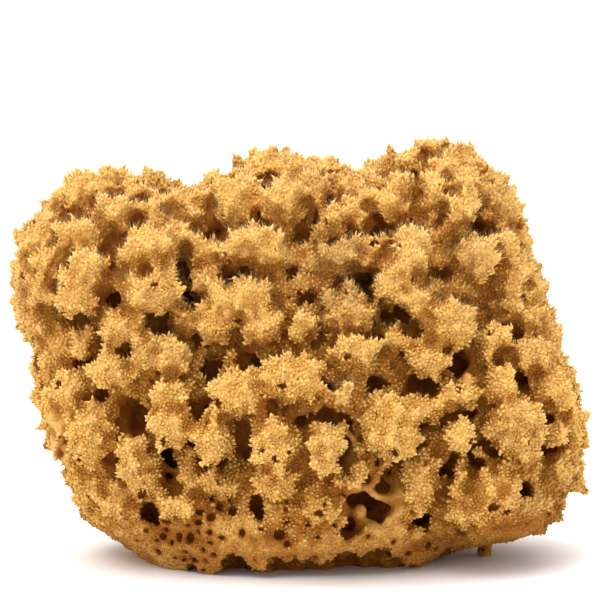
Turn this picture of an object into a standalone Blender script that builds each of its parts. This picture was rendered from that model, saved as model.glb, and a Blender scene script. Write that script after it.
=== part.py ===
"""A natural sea sponge: one grown piece, cut flat where it sat on the rock.

Metres, +Z up. The front, which the photograph shows, faces -Y. The origin is at the middle of the
base. Swollen lobes are fused into a core, tufts grow out of the core, canals are bored into it,
and the whole is reduced to a faceted solid and cut flat underneath.
"""

import math
import random

import bmesh
import bpy
from mathutils import Matrix, Vector, noise
from mathutils.bvhtree import BVHTree

MM = 0.001

# Driving dimensions
WIDTH = 150 * MM
DEPTH = 104 * MM
HEIGHT = 108 * MM
TRIANGLES = 9700

# Lobes of the core: where each is centred and how far it reaches along X, Y and Z, in mm
LOBES = {
    "left shoulder": ((-48, 0, 70.5), (23.5, 30, 21.3)),
    "left flank": ((-36.5, -2, 44.5), (29.5, 33, 26)),
    "left ledge": ((-36, 0, 17.5), (25, 28, 12.5)),
    "crown": ((-5, 2, 69), (30, 35, 26.5)),
    "right shoulder": ((32.3, 2, 70), (24.9, 33, 27.6)),
    "right waist": ((36, 0, 52), (26.5, 33, 22)),
    "right flank": ((40, 0, 37), (29, 35, 24.5)),
    "right ledge": ((45, 0, 19.5), (25.5, 30, 12.5)),
    "belly": ((0, -4, 42), (41, 39, 32)),
    "foot": ((-2, 0, 17), (52, 35, 24)),
}
CENTRE = Vector((0, 0, 48)) * MM
CORE_VOXEL = 2.2 * MM
SWELL_SIZE = 24 * MM
SWELL_HEIGHT = 2.0 * MM

# Places on the front are in mm on the picture plane: across from the middle, and up from the
# front edge of the base. The photograph looks down on the sponge by this angle. The last fit to
# size narrows the sponge and makes it taller, so its places are laid out wider and lower by these
# shares, about this middle.
SEEN_FROM_ABOVE = math.radians(6)
LAYOUT_WIDTH = 1.05
LAYOUT_HEIGHT = 0.96
LAYOUT_MIDDLE = -1.8 * MM
# Tufts of the front: across, up, half width, half height
FRONT_TUFTS = {
    "left shoulder": (
        (-54.5, 99, 3.2, 4), (-47.5, 99.5, 5, 4.5), (-37.5, 98.5, 6.5, 5), (-46, 93.5, 5, 4.5),
        (-62, 93.5, 6, 5), (-55, 91.5, 5, 5), (-46, 87.5, 5, 4), (-35.5, 88.5, 5.5, 4),
        (-65.5, 86, 6.5, 5), (-53.5, 83, 6.5, 3.5), (-72, 79.5, 3.8, 6.5), (-38, 80, 7.8, 4.8),
    ),
    "left side": (
        (-51, 76, 5, 4.5), (-60, 77.5, 4.2, 3.4), (-67, 73, 5, 5.5), (-54, 70.5, 6, 5),
        (-37.5, 70.5, 7.5, 5), (-71.5, 63.5, 4, 5.5), (-63, 65, 5.5, 5), (-43, 63.5, 7, 4),
        (-65, 56.5, 6.5, 5), (-52, 59, 4.2, 3), (-29, 62.5, 4, 3.5), (-66.5, 49, 5.5, 6),
    ),
    "crown": (
        (-28, 95, 5.5, 5), (-24, 100.5, 5, 4), (-29, 89.5, 4.5, 4), (-9.5, 104.5, 8.5, 4.5),
        (-14, 91, 6, 7.5), (-4, 90.5, 5.5, 5.5), (0, 102, 6, 4.5), (7.5, 98, 3.2, 3),
        (8, 105.5, 5, 3.5), (10.5, 91, 3.8, 5), (18, 90, 5.5, 4), (18, 98, 3, 3.2),
    ),
    "middle": (
        (23.5, 90.5, 4, 4), (-22.5, 79.5, 6.2, 3.5), (-10.5, 81, 8, 4), (-21, 72.5, 3, 3.4),
        (-14, 69, 8, 5), (-19, 62.5, 6, 4.5), (-9, 62.5, 6, 4.2), (10.5, 78.5, 6, 3.6),
        (19.5, 79, 4.5, 4.5), (23, 72, 3.8, 4), (11.5, 64, 6.2, 5.5), (1.5, 61.5, 3.6, 3),
        (22.5, 59, 2.5, 3.8), (12.5, 55, 6, 3.6),
    ),
    "right shoulder": (
        (32.5, 106.5, 4.5, 4), (40, 108, 3, 3.2), (42, 103.5, 7.5, 3.8), (51, 102, 4.8, 4.5),
        (29, 100, 3.6, 3.4), (33, 94, 3.4, 5), (26.5, 94.5, 3.6, 3.6), (41, 96, 5, 3.8),
        (47.5, 98, 3.6, 2.5), (39.5, 88.5, 4.2, 3.4), (53, 89.5, 5.5, 5.2), (58, 89, 2.8, 6.5),
    ),
    "right side": (
        (43, 79, 3.6, 4.8), (49, 81, 4, 3), (58.5, 77, 3.6, 5), (53.5, 70, 7.5, 4.8),
        (54.5, 63, 6, 3.8), (27.5, 79.5, 4, 6.5), (29.5, 68.5, 4, 4), (36, 63, 6.2, 6),
        (62, 68, 3, 8), (47, 58, 4, 2.8), (69, 54, 3.4, 5), (54.5, 55, 8, 3.6),
    ),
    "lower left": (
        (-55, 46.5, 6.5, 5), (-45.5, 51, 5, 4.5), (-34, 54, 8.5, 4), (-31.5, 46, 6, 3),
        (-50.5, 36.5, 6.2, 7.5), (-41, 31, 3.4, 6.5), (-31.5, 39.5, 6, 5), (-52, 25, 7, 5.5),
        (-38, 26.5, 4.5, 4.5), (-44, 18, 5, 3.6), (-30, 19, 5.8, 5), (-27.5, 28.5, 4, 5.5),
    ),
    "lower middle": (
        (-19.5, 36.5, 5.5, 7), (-14, 46, 8, 5.5), (-2, 49.5, 8.5, 5.5), (-5.5, 35, 5.8, 6.5),
        (-6, 26.5, 6, 4.2), (6, 33, 4.5, 6), (9, 47, 4.5, 2.5), (21.5, 38.5, 8, 8),
        (5.5, 21, 6, 4), (-19, 25, 5, 3.4), (11.5, 27, 3.6, 2.6),
    ),
    "lower right": (
        (31.5, 53.5, 6, 3.6), (38.5, 46, 5.8, 3.8), (48, 48, 4.6, 5), (31, 42, 6, 2.8),
        (39.5, 36, 4.2, 4.4), (52.5, 37.5, 8.2, 7.5), (61.5, 48.5, 5.2, 5), (66, 37.5, 4, 7),
        (73, 41.5, 2.8, 10), (30, 26, 4.8, 7), (39, 25.5, 2.2, 4), (48, 23.5, 7.5, 6),
        (62, 25, 5, 5), (69.5, 27.5, 3.2, 6), (41, 18, 5.5, 3.4), (27, 18.5, 3.4, 3.6),
    ),
}
# Tufts of the other sides are spread by rule, large ones first, then small ones between them
OTHER_TUFTS = (
    {"gap": 1.50, "half_width": (5.5, 8.0), "stretch": (0.65, 1.0)},
    {"gap": 1.45, "half_width": (3.4, 4.8), "stretch": (0.7, 1.1)},
)
TUFT_TRIES = 7000
TUFT_LEAN = 0.35
TUFT_RISE = 3.2 * MM
TUFT_THICKNESS = (3.4 * MM, 0.5)
TUFT_TRIM = 0.92
TUFT_SQUARENESS = 2.7
# Below this height the skin is bare
TUFT_LINE = 23 * MM
SKIRT_WAVE = 6 * MM
FUSE_VOXEL = 1.3 * MM
KNOB_SIZE = 7 * MM
KNOB_HEIGHT = 1.3 * MM

# Canals of the front: across, up, width, height, roll in degrees, depth
FRONT_CANALS = (
    (-15, 74, 7.5, 5.0, -20, 14), (-27, 69, 4.6, 6.0, 15, 13), (-46, 79, 3.0, 5.0, 10, 9),
    (-57, 89, 4.0, 3.4, 0, 7), (-41, 88, 3.0, 7.0, 5, 8), (-8, 95, 4.0, 6.0, -15, 9),
    (-1, 77, 6.5, 3.6, -10, 11), (3, 86, 3.8, 7.0, 15, 11), (21, 95, 6.0, 4.0, 0, 9),
    (47, 87, 5.0, 8.5, 10, 11), (36, 75, 5.5, 4.0, 20, 11), (16, 73, 6.0, 4.0, -15, 12),
    (3, 68, 4.6, 5.4, 0, 12), (4, 60, 4.0, 5.0, 15, 11), (24, 64, 6.0, 4.6, -20, 10),
    (42, 66, 3.6, 6.0, 0, 11), (53, 78, 3.8, 6.5, 15, 9), (52, 59, 7.0, 3.0, 10, 9),
    (39.5, 53.5, 6.0, 7.6, 25, 15), (8, 48.5, 5.6, 5.0, 0, 14), (20, 48.5, 6.5, 4.0, -10, 13),
    (31, 47.5, 5.5, 4.0, 10, 13), (-55.5, 63, 6.0, 7.0, -20, 10), (-45, 69, 5.5, 4.0, -35, 12),
    (-49, 55.5, 5.5, 6.0, -30, 12), (-49, 46, 2.6, 6.5, 20, 10), (-41, 39, 6.2, 8.0, 20, 14),
    (-22, 52, 7.5, 8.5, -35, 15), (-12, 54, 7.0, 3.6, 10, 13), (-23, 41, 3.6, 3.6, 0, 10),
    (-26.5, 33, 2.8, 4.0, 15, 9), (-23.5, 30, 3.0, 3.6, 0, 9), (-13.5, 34.5, 4.0, 11.5, -42, 12),
    (-32, 26.5, 5.2, 8.0, -20, 14), (-44, 28.5, 3.4, 7.8, 22, 10), (-37, 16.5, 5.8, 5.6, 0, 12),
    (0, 40, 4.0, 5.0, 30, 11), (5.5, 41.5, 4.4, 3.8, 0, 11), (11.5, 34, 4.6, 13.0, 8, 15),
    (28.5, 39, 4.6, 4.6, 0, 12), (40, 41, 7.0, 3.8, -8, 12), (43, 33, 4.0, 8.5, 0, 10),
    (47, 30, 9.0, 3.6, -8, 11), (61, 30.5, 7.0, 3.4, 15, 9), (60, 40, 3.6, 7.0, 0, 8),
    (23, 27, 6.4, 6.4, -30, 12), (36.5, 25, 3.8, 8.0, 10, 11), (18, 19, 11.0, 9.0, 20, 16),
    (12, 11, 5.0, 3.8, 35, 12), (31, 14.5, 7.5, 5.2, 25, 13), (55, 21, 5.5, 4.4, 0, 8),
    (-10, 18.5, 4.0, 6.5, 0, 10), (-10.5, 9, 4.2, 3.2, 30, 10),
)
# Canals of the other sides are spread by rule
OTHER_CANALS = {"spacing": 16, "width": (3.8, 8.5), "stretch": (0.7, 1.5), "depth": (9, 15)}
OTHER_CANAL_TRIES = 1500
CANAL_RIM = 1.6 * MM
# Each canal has a side pocket: its radius against the canal's width and height together, and how
# far down the canal it sits
POCKET_SHARE = 0.3
POCKET_DEPTH = 0.55
CANAL_VOXEL = 1.3 * MM
CANAL_LINE = 8 * MM
CUT_VOXEL = 1.2 * MM

# Hollows under the edge of the base: the angle round it, and half sizes along the edge, across it
# and upwards, in mm. The edge is an ellipse with this middle and these half widths.
BASE_MIDDLE = -2
BASE_REACH = (41, 28)
BASE_HOLLOWS = (
    (-113, (7, 6, 5.0)),
    (-94, (4.5, 5, 3.6)),
    (-66, (11, 7, 7.0)),
    (-18, (8, 6, 3.6)),
    (38, (12, 6, 4.4)),
    (96, (14, 6, 4.0)),
    (152, (10, 7, 4.2)),
)
BASE_CUT = 3 * MM

SPONGE_TAN = (0.62, 0.36, 0.12, 1.0)
SPONGE_ROUGHNESS = 0.95


def clear_scene():
    for obj in list(bpy.data.objects):
        bpy.data.objects.remove(obj)


def collection(name):
    made = bpy.data.collections.new(name)
    bpy.context.scene.collection.children.link(made)
    return made


def mesh_object(name, bm, home):
    mesh = bpy.data.meshes.new(name)
    bm.to_mesh(mesh)
    bm.free()
    obj = bpy.data.objects.new(name, mesh)
    home.objects.link(obj)
    return obj


def apply_modifiers(obj):
    """Puts the shape that the modifiers make into the object's own mesh."""
    bpy.context.view_layer.update()
    graph = bpy.context.evaluated_depsgraph_get()
    obj.data = bpy.data.meshes.new_from_object(obj.evaluated_get(graph))
    obj.modifiers.clear()


def fuse(obj, voxel, smooth_rounds):
    """Joins overlapping shapes into one skin."""
    remesh = obj.modifiers.new("fuse", "REMESH")
    remesh.mode = "VOXEL"
    remesh.voxel_size = voxel
    smooth = obj.modifiers.new("smooth", "SMOOTH")
    smooth.factor = 0.5
    smooth.iterations = smooth_rounds
    apply_modifiers(obj)


def swell(obj, size, height):
    """Slow bumps and dips, along the skin's normals, that break its roundness."""
    normals = [vert.normal.copy() for vert in obj.data.vertices]
    for vert, normal in zip(obj.data.vertices, normals):
        vert.co += normal * noise.noise(vert.co / size) * height


def keep_largest_body(obj):
    """Drops crumbs that a canal has cut loose."""
    bm = bmesh.new()
    bm.from_mesh(obj.data)
    left = set(bm.verts)
    bodies = []
    while left:
        edge_of_body = [left.pop()]
        body = set(edge_of_body)
        while edge_of_body:
            for edge in edge_of_body.pop().link_edges:
                for vert in edge.verts:
                    if vert in left:
                        left.remove(vert)
                        body.add(vert)
                        edge_of_body.append(vert)
        bodies.append(body)
    bodies.sort(key=len)
    for body in bodies[:-1]:
        bmesh.ops.delete(bm, geom=list(body), context="VERTS")
    bm.to_mesh(obj.data)
    bm.free()


def unit_ball(detail, squareness):
    """A ball of radius 1. A squareness above 2 flattens its top and fills its corners."""
    bm = bmesh.new()
    bmesh.ops.create_icosphere(bm, subdivisions=detail, radius=1)
    for vert in bm.verts:
        vert.co /= sum(abs(c) ** squareness for c in vert.co) ** (1 / squareness)
    ball = bpy.data.meshes.new("ball")
    bm.to_mesh(ball)
    bm.free()
    return ball


def add_ball(bm, ball, centre, radii, turn=Matrix.Identity(3)):
    """Adds a stretched copy of a unit ball."""
    placed = ball.copy()
    placed.transform(Matrix.Translation(centre) @ turn.to_4x4() @ Matrix.Diagonal((*radii, 1)))
    bm.from_mesh(placed)
    bpy.data.meshes.remove(placed)


def upright_to(direction, roll=0.0):
    """A turn that takes +Z to the direction and keeps +Y upwards, rolled about the direction."""
    return direction.to_track_quat("Z", "Y").to_matrix() @ Matrix.Rotation(roll, 3, "Z")


def build_core(home):
    """The lobes, fused."""
    bm = bmesh.new()
    ball = unit_ball(detail=4, squareness=2)
    for centre, radii in LOBES.values():
        add_ball(bm, ball, Vector(centre) * MM, [r * MM for r in radii])
    core = mesh_object("core", bm, home)
    fuse(core, CORE_VOXEL, smooth_rounds=6)
    swell(core, SWELL_SIZE, SWELL_HEIGHT)
    return core


def skin_of(obj):
    bm = bmesh.new()
    bm.from_mesh(obj.data)
    tree = BVHTree.FromBMesh(bm)
    bm.free()
    return tree


def scattered_points(skin, rng, tries):
    """Random places on the core's skin, with their normals, found by looking out from its centre."""
    for _ in range(tries):
        up = rng.uniform(-1, 1)
        round_about = rng.uniform(0, math.tau)
        across = math.sqrt(1 - up * up)
        way = Vector((across * math.cos(round_about), across * math.sin(round_about), up))
        place, normal, _, _ = skin.ray_cast(CENTRE, way)
        if place:
            yield place, normal


def front_point(skin, across, up):
    """Where the line of sight through a spot of the picture plane meets the core, or passes it."""
    sight = Vector((0, math.cos(SEEN_FROM_ABOVE), -math.sin(SEEN_FROM_ABOVE)))
    raised = Vector((0, math.sin(SEEN_FROM_ABOVE), math.cos(SEEN_FROM_ABOVE)))
    front_edge = Vector((0, -LOBES["foot"][1][1] * MM, BASE_CUT))
    sideways = Vector((LAYOUT_MIDDLE + across * LAYOUT_WIDTH * MM, 0, 0))
    spot = front_edge + sideways + raised * up * LAYOUT_HEIGHT * MM
    place, normal, _, _ = skin.ray_cast(spot - sight * WIDTH, sight)
    if not place:
        beside = spot - sight * spot.y / sight.y
        place, normal, _, _ = skin.find_nearest(beside)
    return place, normal, sight


def plan_canals(skin, rng):
    """Every canal as (mouth, way in, width, height, roll, depth), the front ones where they show."""
    canals = []
    for across, up, width, height, roll, depth in FRONT_CANALS:
        mouth, normal, sight = front_point(skin, across, up)
        way_in = (sight - normal).normalized()
        canals.append((mouth, way_in, width * MM, height * MM, math.radians(roll), depth * MM))
    rule = OTHER_CANALS
    for mouth, normal in scattered_points(skin, rng, OTHER_CANAL_TRIES):
        seen_in_front = normal.y < -0.25
        too_near = any((mouth - c[0]).length < rule["spacing"] * MM for c in canals)
        if seen_in_front or too_near or mouth.z < CANAL_LINE:
            continue
        width = rng.uniform(*rule["width"]) * MM
        height = width * rng.uniform(*rule["stretch"])
        depth = rng.uniform(*rule["depth"]) * MM
        canals.append((mouth, -normal, width, height, rng.uniform(0, math.pi), depth))
    return canals


def tuft_line(place):
    """The height where the tufts end and the bare skirt of the base begins."""
    return TUFT_LINE + SKIRT_WAVE * noise.noise(place / SWELL_SIZE)


def add_tuft(bm, cushion, place, normal, half_width, half_height, roll=0.0):
    """A cushion-shaped head that stands out of the skin and leans upwards."""
    out = (normal + Vector((0, 0, TUFT_LEAN))).normalized()
    least, share = TUFT_THICKNESS
    thickness = least + share * min(half_width, half_height)
    centre = place + normal * TUFT_RISE
    sizes = (half_width * TUFT_TRIM, half_height * TUFT_TRIM, thickness)
    add_ball(bm, cushion, centre, sizes, upright_to(out, roll))


def grow_tufts(core, skin, canals, rng):
    """Adds the tufts to the core's mesh, those of the other sides clear of the canals' mouths."""
    bm = bmesh.new()
    bm.from_mesh(core.data)
    cushion = unit_ball(detail=3, squareness=TUFT_SQUARENESS)
    grown = []
    for tufts in FRONT_TUFTS.values():
        for across, up, half_width, half_height in tufts:
            place, normal, _ = front_point(skin, across, up)
            add_tuft(bm, cushion, place, normal, half_width * MM, half_height * MM)
            grown.append((place, (half_width + half_height) / 2 * MM))
    for rule in OTHER_TUFTS:
        for place, normal in scattered_points(skin, rng, TUFT_TRIES):
            if place.z < tuft_line(place) or normal.y < -0.55:
                continue
            half_width = rng.uniform(*rule["half_width"]) * MM
            half_height = half_width * rng.uniform(*rule["stretch"])
            size = (half_width + half_height) / 2
            crowded = any(
                (place - other).length < (size + reach) * rule["gap"] / 2 for other, reach in grown
            )
            over_canal = any(
                (place - mouth).length < (width + height) / 4 + CANAL_RIM
                for mouth, _, width, height, _, _ in canals
            )
            if crowded or over_canal:
                continue
            grown.append((place, size))
            add_tuft(bm, cushion, place, normal, half_width, half_height, rng.uniform(0, math.tau))
    return bm


def cutter_object(name, bm, home, voxel):
    cutter = mesh_object(name, bm, home)
    fuse(cutter, voxel, smooth_rounds=2)
    cutter.hide_render = True
    cutter.display_type = "WIRE"
    return cutter


def bore_canals(canals, home):
    """One cutter of all the canals. Each is a stretched ball, with a side pocket at its foot."""
    bm = bmesh.new()
    ball = unit_ball(detail=3, squareness=2)
    for mouth, way_in, width, height, roll, depth in canals:
        turn = upright_to(way_in, roll)
        add_ball(bm, ball, mouth, (width / 2, height / 2, depth), turn)
        pocket = (width + height) * POCKET_SHARE
        aside = turn @ Vector((pocket / 2, 0, 0))
        add_ball(bm, ball, mouth + way_in * depth * POCKET_DEPTH + aside, (pocket,) * 3)
    return cutter_object("canal_cutter", bm, home, CANAL_VOXEL)


def hollow_base(home):
    """One cutter of the hollows that leave the base standing on broad feet."""
    bm = bmesh.new()
    ball = unit_ball(detail=3, squareness=2)
    reach_x, reach_y = BASE_REACH
    for degrees, (along, across, high) in BASE_HOLLOWS:
        angle = math.radians(degrees)
        turn = Matrix.Rotation(angle, 3, "Z")
        edge_x = BASE_MIDDLE + reach_x * math.cos(angle)
        centre = Vector((edge_x, reach_y * math.sin(angle), 0)) * MM + Vector((0, 0, BASE_CUT))
        add_ball(bm, ball, centre, (across * MM, along * MM, high * MM), turn)
    return cutter_object("base_hollow_cutter", bm, home, CANAL_VOXEL)


def base_block(home):
    """The block below the cut, which leaves the base flat."""
    bm = bmesh.new()
    size = Matrix.Diagonal((2 * WIDTH, 2 * WIDTH, HEIGHT, 1))
    below = Matrix.Translation((0, 0, BASE_CUT - HEIGHT / 2))
    bmesh.ops.create_cube(bm, size=1, matrix=below @ size)
    block = mesh_object("base_block_cutter", bm, home)
    block.hide_render = True
    block.display_type = "WIRE"
    return block


def cut(obj, cutter):
    """The exact solver loses the whole body on skins as dense as these, so the manifold one cuts."""
    boolean = obj.modifiers.new(cutter.name, "BOOLEAN")
    boolean.operation = "DIFFERENCE"
    boolean.solver = "MANIFOLD"
    boolean.object = cutter


def reduce_faces(obj, triangles):
    """Fewer, larger facets, most of them where the skin bends most."""
    obj.data.calc_loop_triangles()
    decimate = obj.modifiers.new("facets", "DECIMATE")
    decimate.ratio = triangles / len(obj.data.loop_triangles)
    apply_modifiers(obj)


def fit_to_size(obj):
    """Scales the sponge to its driving dimensions and puts the middle of its base at the origin."""
    corners = [vert.co for vert in obj.data.vertices]
    low = Vector([min(c[axis] for c in corners) for axis in range(3)])
    high = Vector([max(c[axis] for c in corners) for axis in range(3)])
    size = high - low
    scale = Matrix.Diagonal((WIDTH / size.x, DEPTH / size.y, HEIGHT / size.z, 1))
    base = Vector(((low.x + high.x) / 2, (low.y + high.y) / 2, low.z))
    obj.data.transform(scale @ Matrix.Translation(-base))


def sponge_material():
    material = bpy.data.materials.new("sponge_tan")
    material.use_nodes = True
    shader = material.node_tree.nodes["Principled BSDF"]
    shader.inputs["Base Color"].default_value = SPONGE_TAN
    shader.inputs["Roughness"].default_value = SPONGE_ROUGHNESS
    shader.inputs["Metallic"].default_value = 0.0
    return material


def main():
    clear_scene()
    parts = collection("sea_sponge")
    cutters = collection("cutters")
    rng = random.Random(11)

    core = build_core(cutters)
    skin = skin_of(core)
    canals = plan_canals(skin, rng)
    sponge = mesh_object("sponge", grow_tufts(core, skin, canals, rng), parts)
    bpy.data.objects.remove(core)
    fuse(sponge, FUSE_VOXEL, smooth_rounds=1)
    swell(sponge, KNOB_SIZE, KNOB_HEIGHT)
    cut(sponge, bore_canals(canals, cutters))
    cut(sponge, hollow_base(cutters))
    apply_modifiers(sponge)
    fuse(sponge, CUT_VOXEL, smooth_rounds=1)
    keep_largest_body(sponge)
    reduce_faces(sponge, TRIANGLES)
    cut(sponge, base_block(cutters))
    apply_modifiers(sponge)
    keep_largest_body(sponge)
    fit_to_size(sponge)
    sponge.data.materials.clear()
    sponge.data.materials.append(sponge_material())


main()
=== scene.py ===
"""The looks of a natural sea sponge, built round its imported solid.

Metres, +Z up. The front, which the photograph shows, faces -Y. The sponge's body grows by the same
tables as the solid: a core of lobes, tufts on it and canals in it. It gets a finer skin here, with
creases between its heads and pores in its bare skirt. Then some fifty thousand pointed tips and
fine fibres stand on its tufts.
"""

import math
import random

import bmesh
import bpy
import numpy as np
from mathutils import Matrix, Vector, noise
from mathutils.bvhtree import BVHTree
from mathutils.kdtree import KDTree


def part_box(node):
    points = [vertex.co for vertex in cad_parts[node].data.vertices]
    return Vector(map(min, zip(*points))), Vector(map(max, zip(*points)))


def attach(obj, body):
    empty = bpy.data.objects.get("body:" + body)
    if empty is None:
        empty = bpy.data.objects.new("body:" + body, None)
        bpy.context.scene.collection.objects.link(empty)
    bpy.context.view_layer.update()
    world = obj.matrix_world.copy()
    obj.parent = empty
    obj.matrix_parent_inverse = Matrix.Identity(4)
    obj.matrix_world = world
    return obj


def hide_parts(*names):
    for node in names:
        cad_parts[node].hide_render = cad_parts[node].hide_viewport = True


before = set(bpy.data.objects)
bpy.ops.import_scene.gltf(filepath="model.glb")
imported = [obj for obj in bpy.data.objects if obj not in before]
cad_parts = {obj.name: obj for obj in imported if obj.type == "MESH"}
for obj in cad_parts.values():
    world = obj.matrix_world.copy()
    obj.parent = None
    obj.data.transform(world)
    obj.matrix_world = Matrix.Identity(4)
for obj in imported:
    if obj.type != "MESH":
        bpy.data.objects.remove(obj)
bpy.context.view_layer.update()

MM = 0.001

# ---- The camera -------------------------------------------------------------------------------
CAMERA_TARGET = Vector((0, 0, 0.0662))
CAMERA_DISTANCE = 0.9
CAMERA_ELEVATION = math.radians(6)
CAMERA_SENSOR = 36
CAMERA_FIELD = 0.1523

# ---- The core, the tufts and the canals, as in the solid --------------------------------------
WIDTH = 150 * MM
# Lobes of the core: where each is centred and how far it reaches along X, Y and Z, in mm
LOBES = {
    "left shoulder": ((-48, 0, 70.5), (23.5, 30, 21.3)),
    "left flank": ((-36.5, -2, 44.5), (29.5, 33, 26)),
    "left ledge": ((-36, 0, 17.5), (25, 28, 12.5)),
    "crown": ((-5, 2, 69), (30, 35, 26.5)),
    "right shoulder": ((32.3, 2, 70), (24.9, 33, 27.6)),
    "right waist": ((36, 0, 52), (26.5, 33, 22)),
    "right flank": ((40, 0, 37), (29, 35, 24.5)),
    "right ledge": ((45, 0, 19.5), (25.5, 30, 12.5)),
    "belly": ((0, -4, 42), (41, 39, 32)),
    "foot": ((-2, 0, 17), (52, 35, 24)),
}
CENTRE = Vector((0, 0, 48)) * MM
CORE_VOXEL = 2.2 * MM
SWELL_SIZE = 24 * MM
SWELL_HEIGHT = 2.0 * MM

# Places on the front are in mm on the picture plane: across from the middle, and up from the
# front edge of the base. The photograph looks down on the sponge by this angle. The last fit to
# the solid's box changes its width and height, so its places are laid out by these shares, about
# this middle.
SEEN_FROM_ABOVE = math.radians(6)
LAYOUT_WIDTH = 1.058
LAYOUT_HEIGHT = 0.97
LAYOUT_MIDDLE = -1.3 * MM
# Tufts of the front: across, up, half width, half height
FRONT_TUFTS = {
    "left shoulder": (
        (-54.5, 99, 3.2, 4), (-47.5, 99.5, 5, 4.5), (-37.5, 98.5, 6.5, 5), (-46, 93.5, 5, 4.5),
        (-62, 93.5, 6, 5), (-55, 91.5, 5, 5), (-46, 87.5, 5, 4), (-35.5, 88.5, 5.5, 4),
        (-65.5, 86, 6.5, 5), (-53.5, 83, 6.5, 3.5), (-72, 79.5, 3.8, 6.5), (-38, 80, 7.8, 4.8),
    ),
    "left side": (
        (-51, 76, 5, 4.5), (-60, 77.5, 4.2, 3.4), (-67, 73, 5, 5.5), (-54, 70.5, 6, 5),
        (-37.5, 70.5, 7.5, 5), (-71.5, 63.5, 4, 5.5), (-63, 65, 5.5, 5), (-43, 63.5, 7, 4),
        (-65, 56.5, 6.5, 5), (-52, 59, 4.2, 3), (-29, 62.5, 4, 3.5), (-66.5, 49, 5.5, 6),
    ),
    "crown": (
        (-28, 95, 5.5, 5), (-24, 100.5, 5, 4), (-29, 89.5, 4.5, 4), (-9.5, 104.5, 8.5, 4.5),
        (-14, 91, 6, 7.5), (-4, 90.5, 5.5, 5.5), (0, 102, 6, 4.5), (7.5, 98, 3.2, 3),
        (8, 105.5, 5, 3.5), (10.5, 91, 3.8, 5), (18, 90, 5.5, 4), (18, 98, 3, 3.2),
    ),
    "middle": (
        (23.5, 90.5, 4, 4), (-22.5, 79.5, 6.2, 3.5), (-10.5, 81, 8, 4), (-21, 72.5, 3, 3.4),
        (-14, 69, 8, 5), (-19, 62.5, 6, 4.5), (-9, 62.5, 6, 4.2), (10.5, 78.5, 6, 3.6),
        (19.5, 79, 4.5, 4.5), (23, 72, 3.8, 4), (11.5, 64, 6.2, 5.5), (1.5, 61.5, 3.6, 3),
        (22.5, 59, 2.5, 3.8), (12.5, 55, 6, 3.6),
    ),
    "right shoulder": (
        (32.5, 106.5, 4.5, 4), (40, 108, 3, 3.2), (42, 103.5, 7.5, 3.8), (51, 102, 4.8, 4.5),
        (29, 100, 3.6, 3.4), (33, 94, 3.4, 5), (26.5, 94.5, 3.6, 3.6), (41, 96, 5, 3.8),
        (47.5, 98, 3.6, 2.5), (39.5, 88.5, 4.2, 3.4), (53, 89.5, 5.5, 5.2), (58, 89, 2.8, 6.5),
    ),
    "right side": (
        (43, 79, 3.6, 4.8), (49, 81, 4, 3), (58.5, 77, 3.6, 5), (53.5, 70, 7.5, 4.8),
        (54.5, 63, 6, 3.8), (27.5, 79.5, 4, 6.5), (29.5, 68.5, 4, 4), (36, 63, 6.2, 6),
        (62, 68, 3, 8), (47, 58, 4, 2.8), (69, 54, 3.4, 5), (54.5, 55, 8, 3.6),
    ),
    "lower left": (
        (-55, 46.5, 6.5, 5), (-45.5, 51, 5, 4.5), (-34, 54, 8.5, 4), (-31.5, 46, 6, 3),
        (-50.5, 36.5, 6.2, 7.5), (-41, 31, 3.4, 6.5), (-31.5, 39.5, 6, 5), (-52, 25, 7, 5.5),
        (-38, 26.5, 4.5, 4.5), (-44, 18, 5, 3.6), (-30, 19, 5.8, 5), (-27.5, 28.5, 4, 5.5),
    ),
    "lower middle": (
        (-19.5, 36.5, 5.5, 7), (-14, 46, 8, 5.5), (-2, 49.5, 8.5, 5.5), (-5.5, 35, 5.8, 6.5),
        (-6, 26.5, 6, 4.2), (6, 33, 4.5, 6), (9, 47, 4.5, 2.5), (21.5, 38.5, 8, 8),
        (5.5, 21, 6, 4), (-19, 25, 5, 3.4), (11.5, 27, 3.6, 2.6),
    ),
    "lower right": (
        (31.5, 53.5, 6, 3.6), (38.5, 46, 5.8, 3.8), (48, 48, 4.6, 5), (31, 42, 6, 2.8),
        (39.5, 36, 4.2, 4.4), (52.5, 37.5, 8.2, 7.5), (61.5, 48.5, 5.2, 5), (66, 37.5, 4, 7),
        (73, 41.5, 2.8, 10), (30, 26, 4.8, 7), (39, 25.5, 2.2, 4), (48, 23.5, 7.5, 6),
        (62, 25, 5, 5), (69.5, 27.5, 3.2, 6), (41, 18, 5.5, 3.4), (27, 18.5, 3.4, 3.6),
    ),
}
# Tufts of the other sides are spread by rule, large ones first, then small ones between them
OTHER_TUFTS = (
    {"gap": 1.50, "half_width": (5.5, 8.0), "stretch": (0.65, 1.0)},
    {"gap": 1.45, "half_width": (3.4, 4.8), "stretch": (0.7, 1.1)},
)
TUFT_TRIES = 7000
TUFT_LEAN = 0.35
TUFT_RISE = 3.2 * MM
TUFT_THICKNESS = (3.4 * MM, 0.5)
TUFT_TRIM = 0.92
TUFT_SQUARENESS = 2.7
TUFT_LINE = 23 * MM
SKIRT_WAVE = 6 * MM
KNOB_SIZE = 7 * MM
KNOB_HEIGHT = 1.3 * MM

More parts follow.
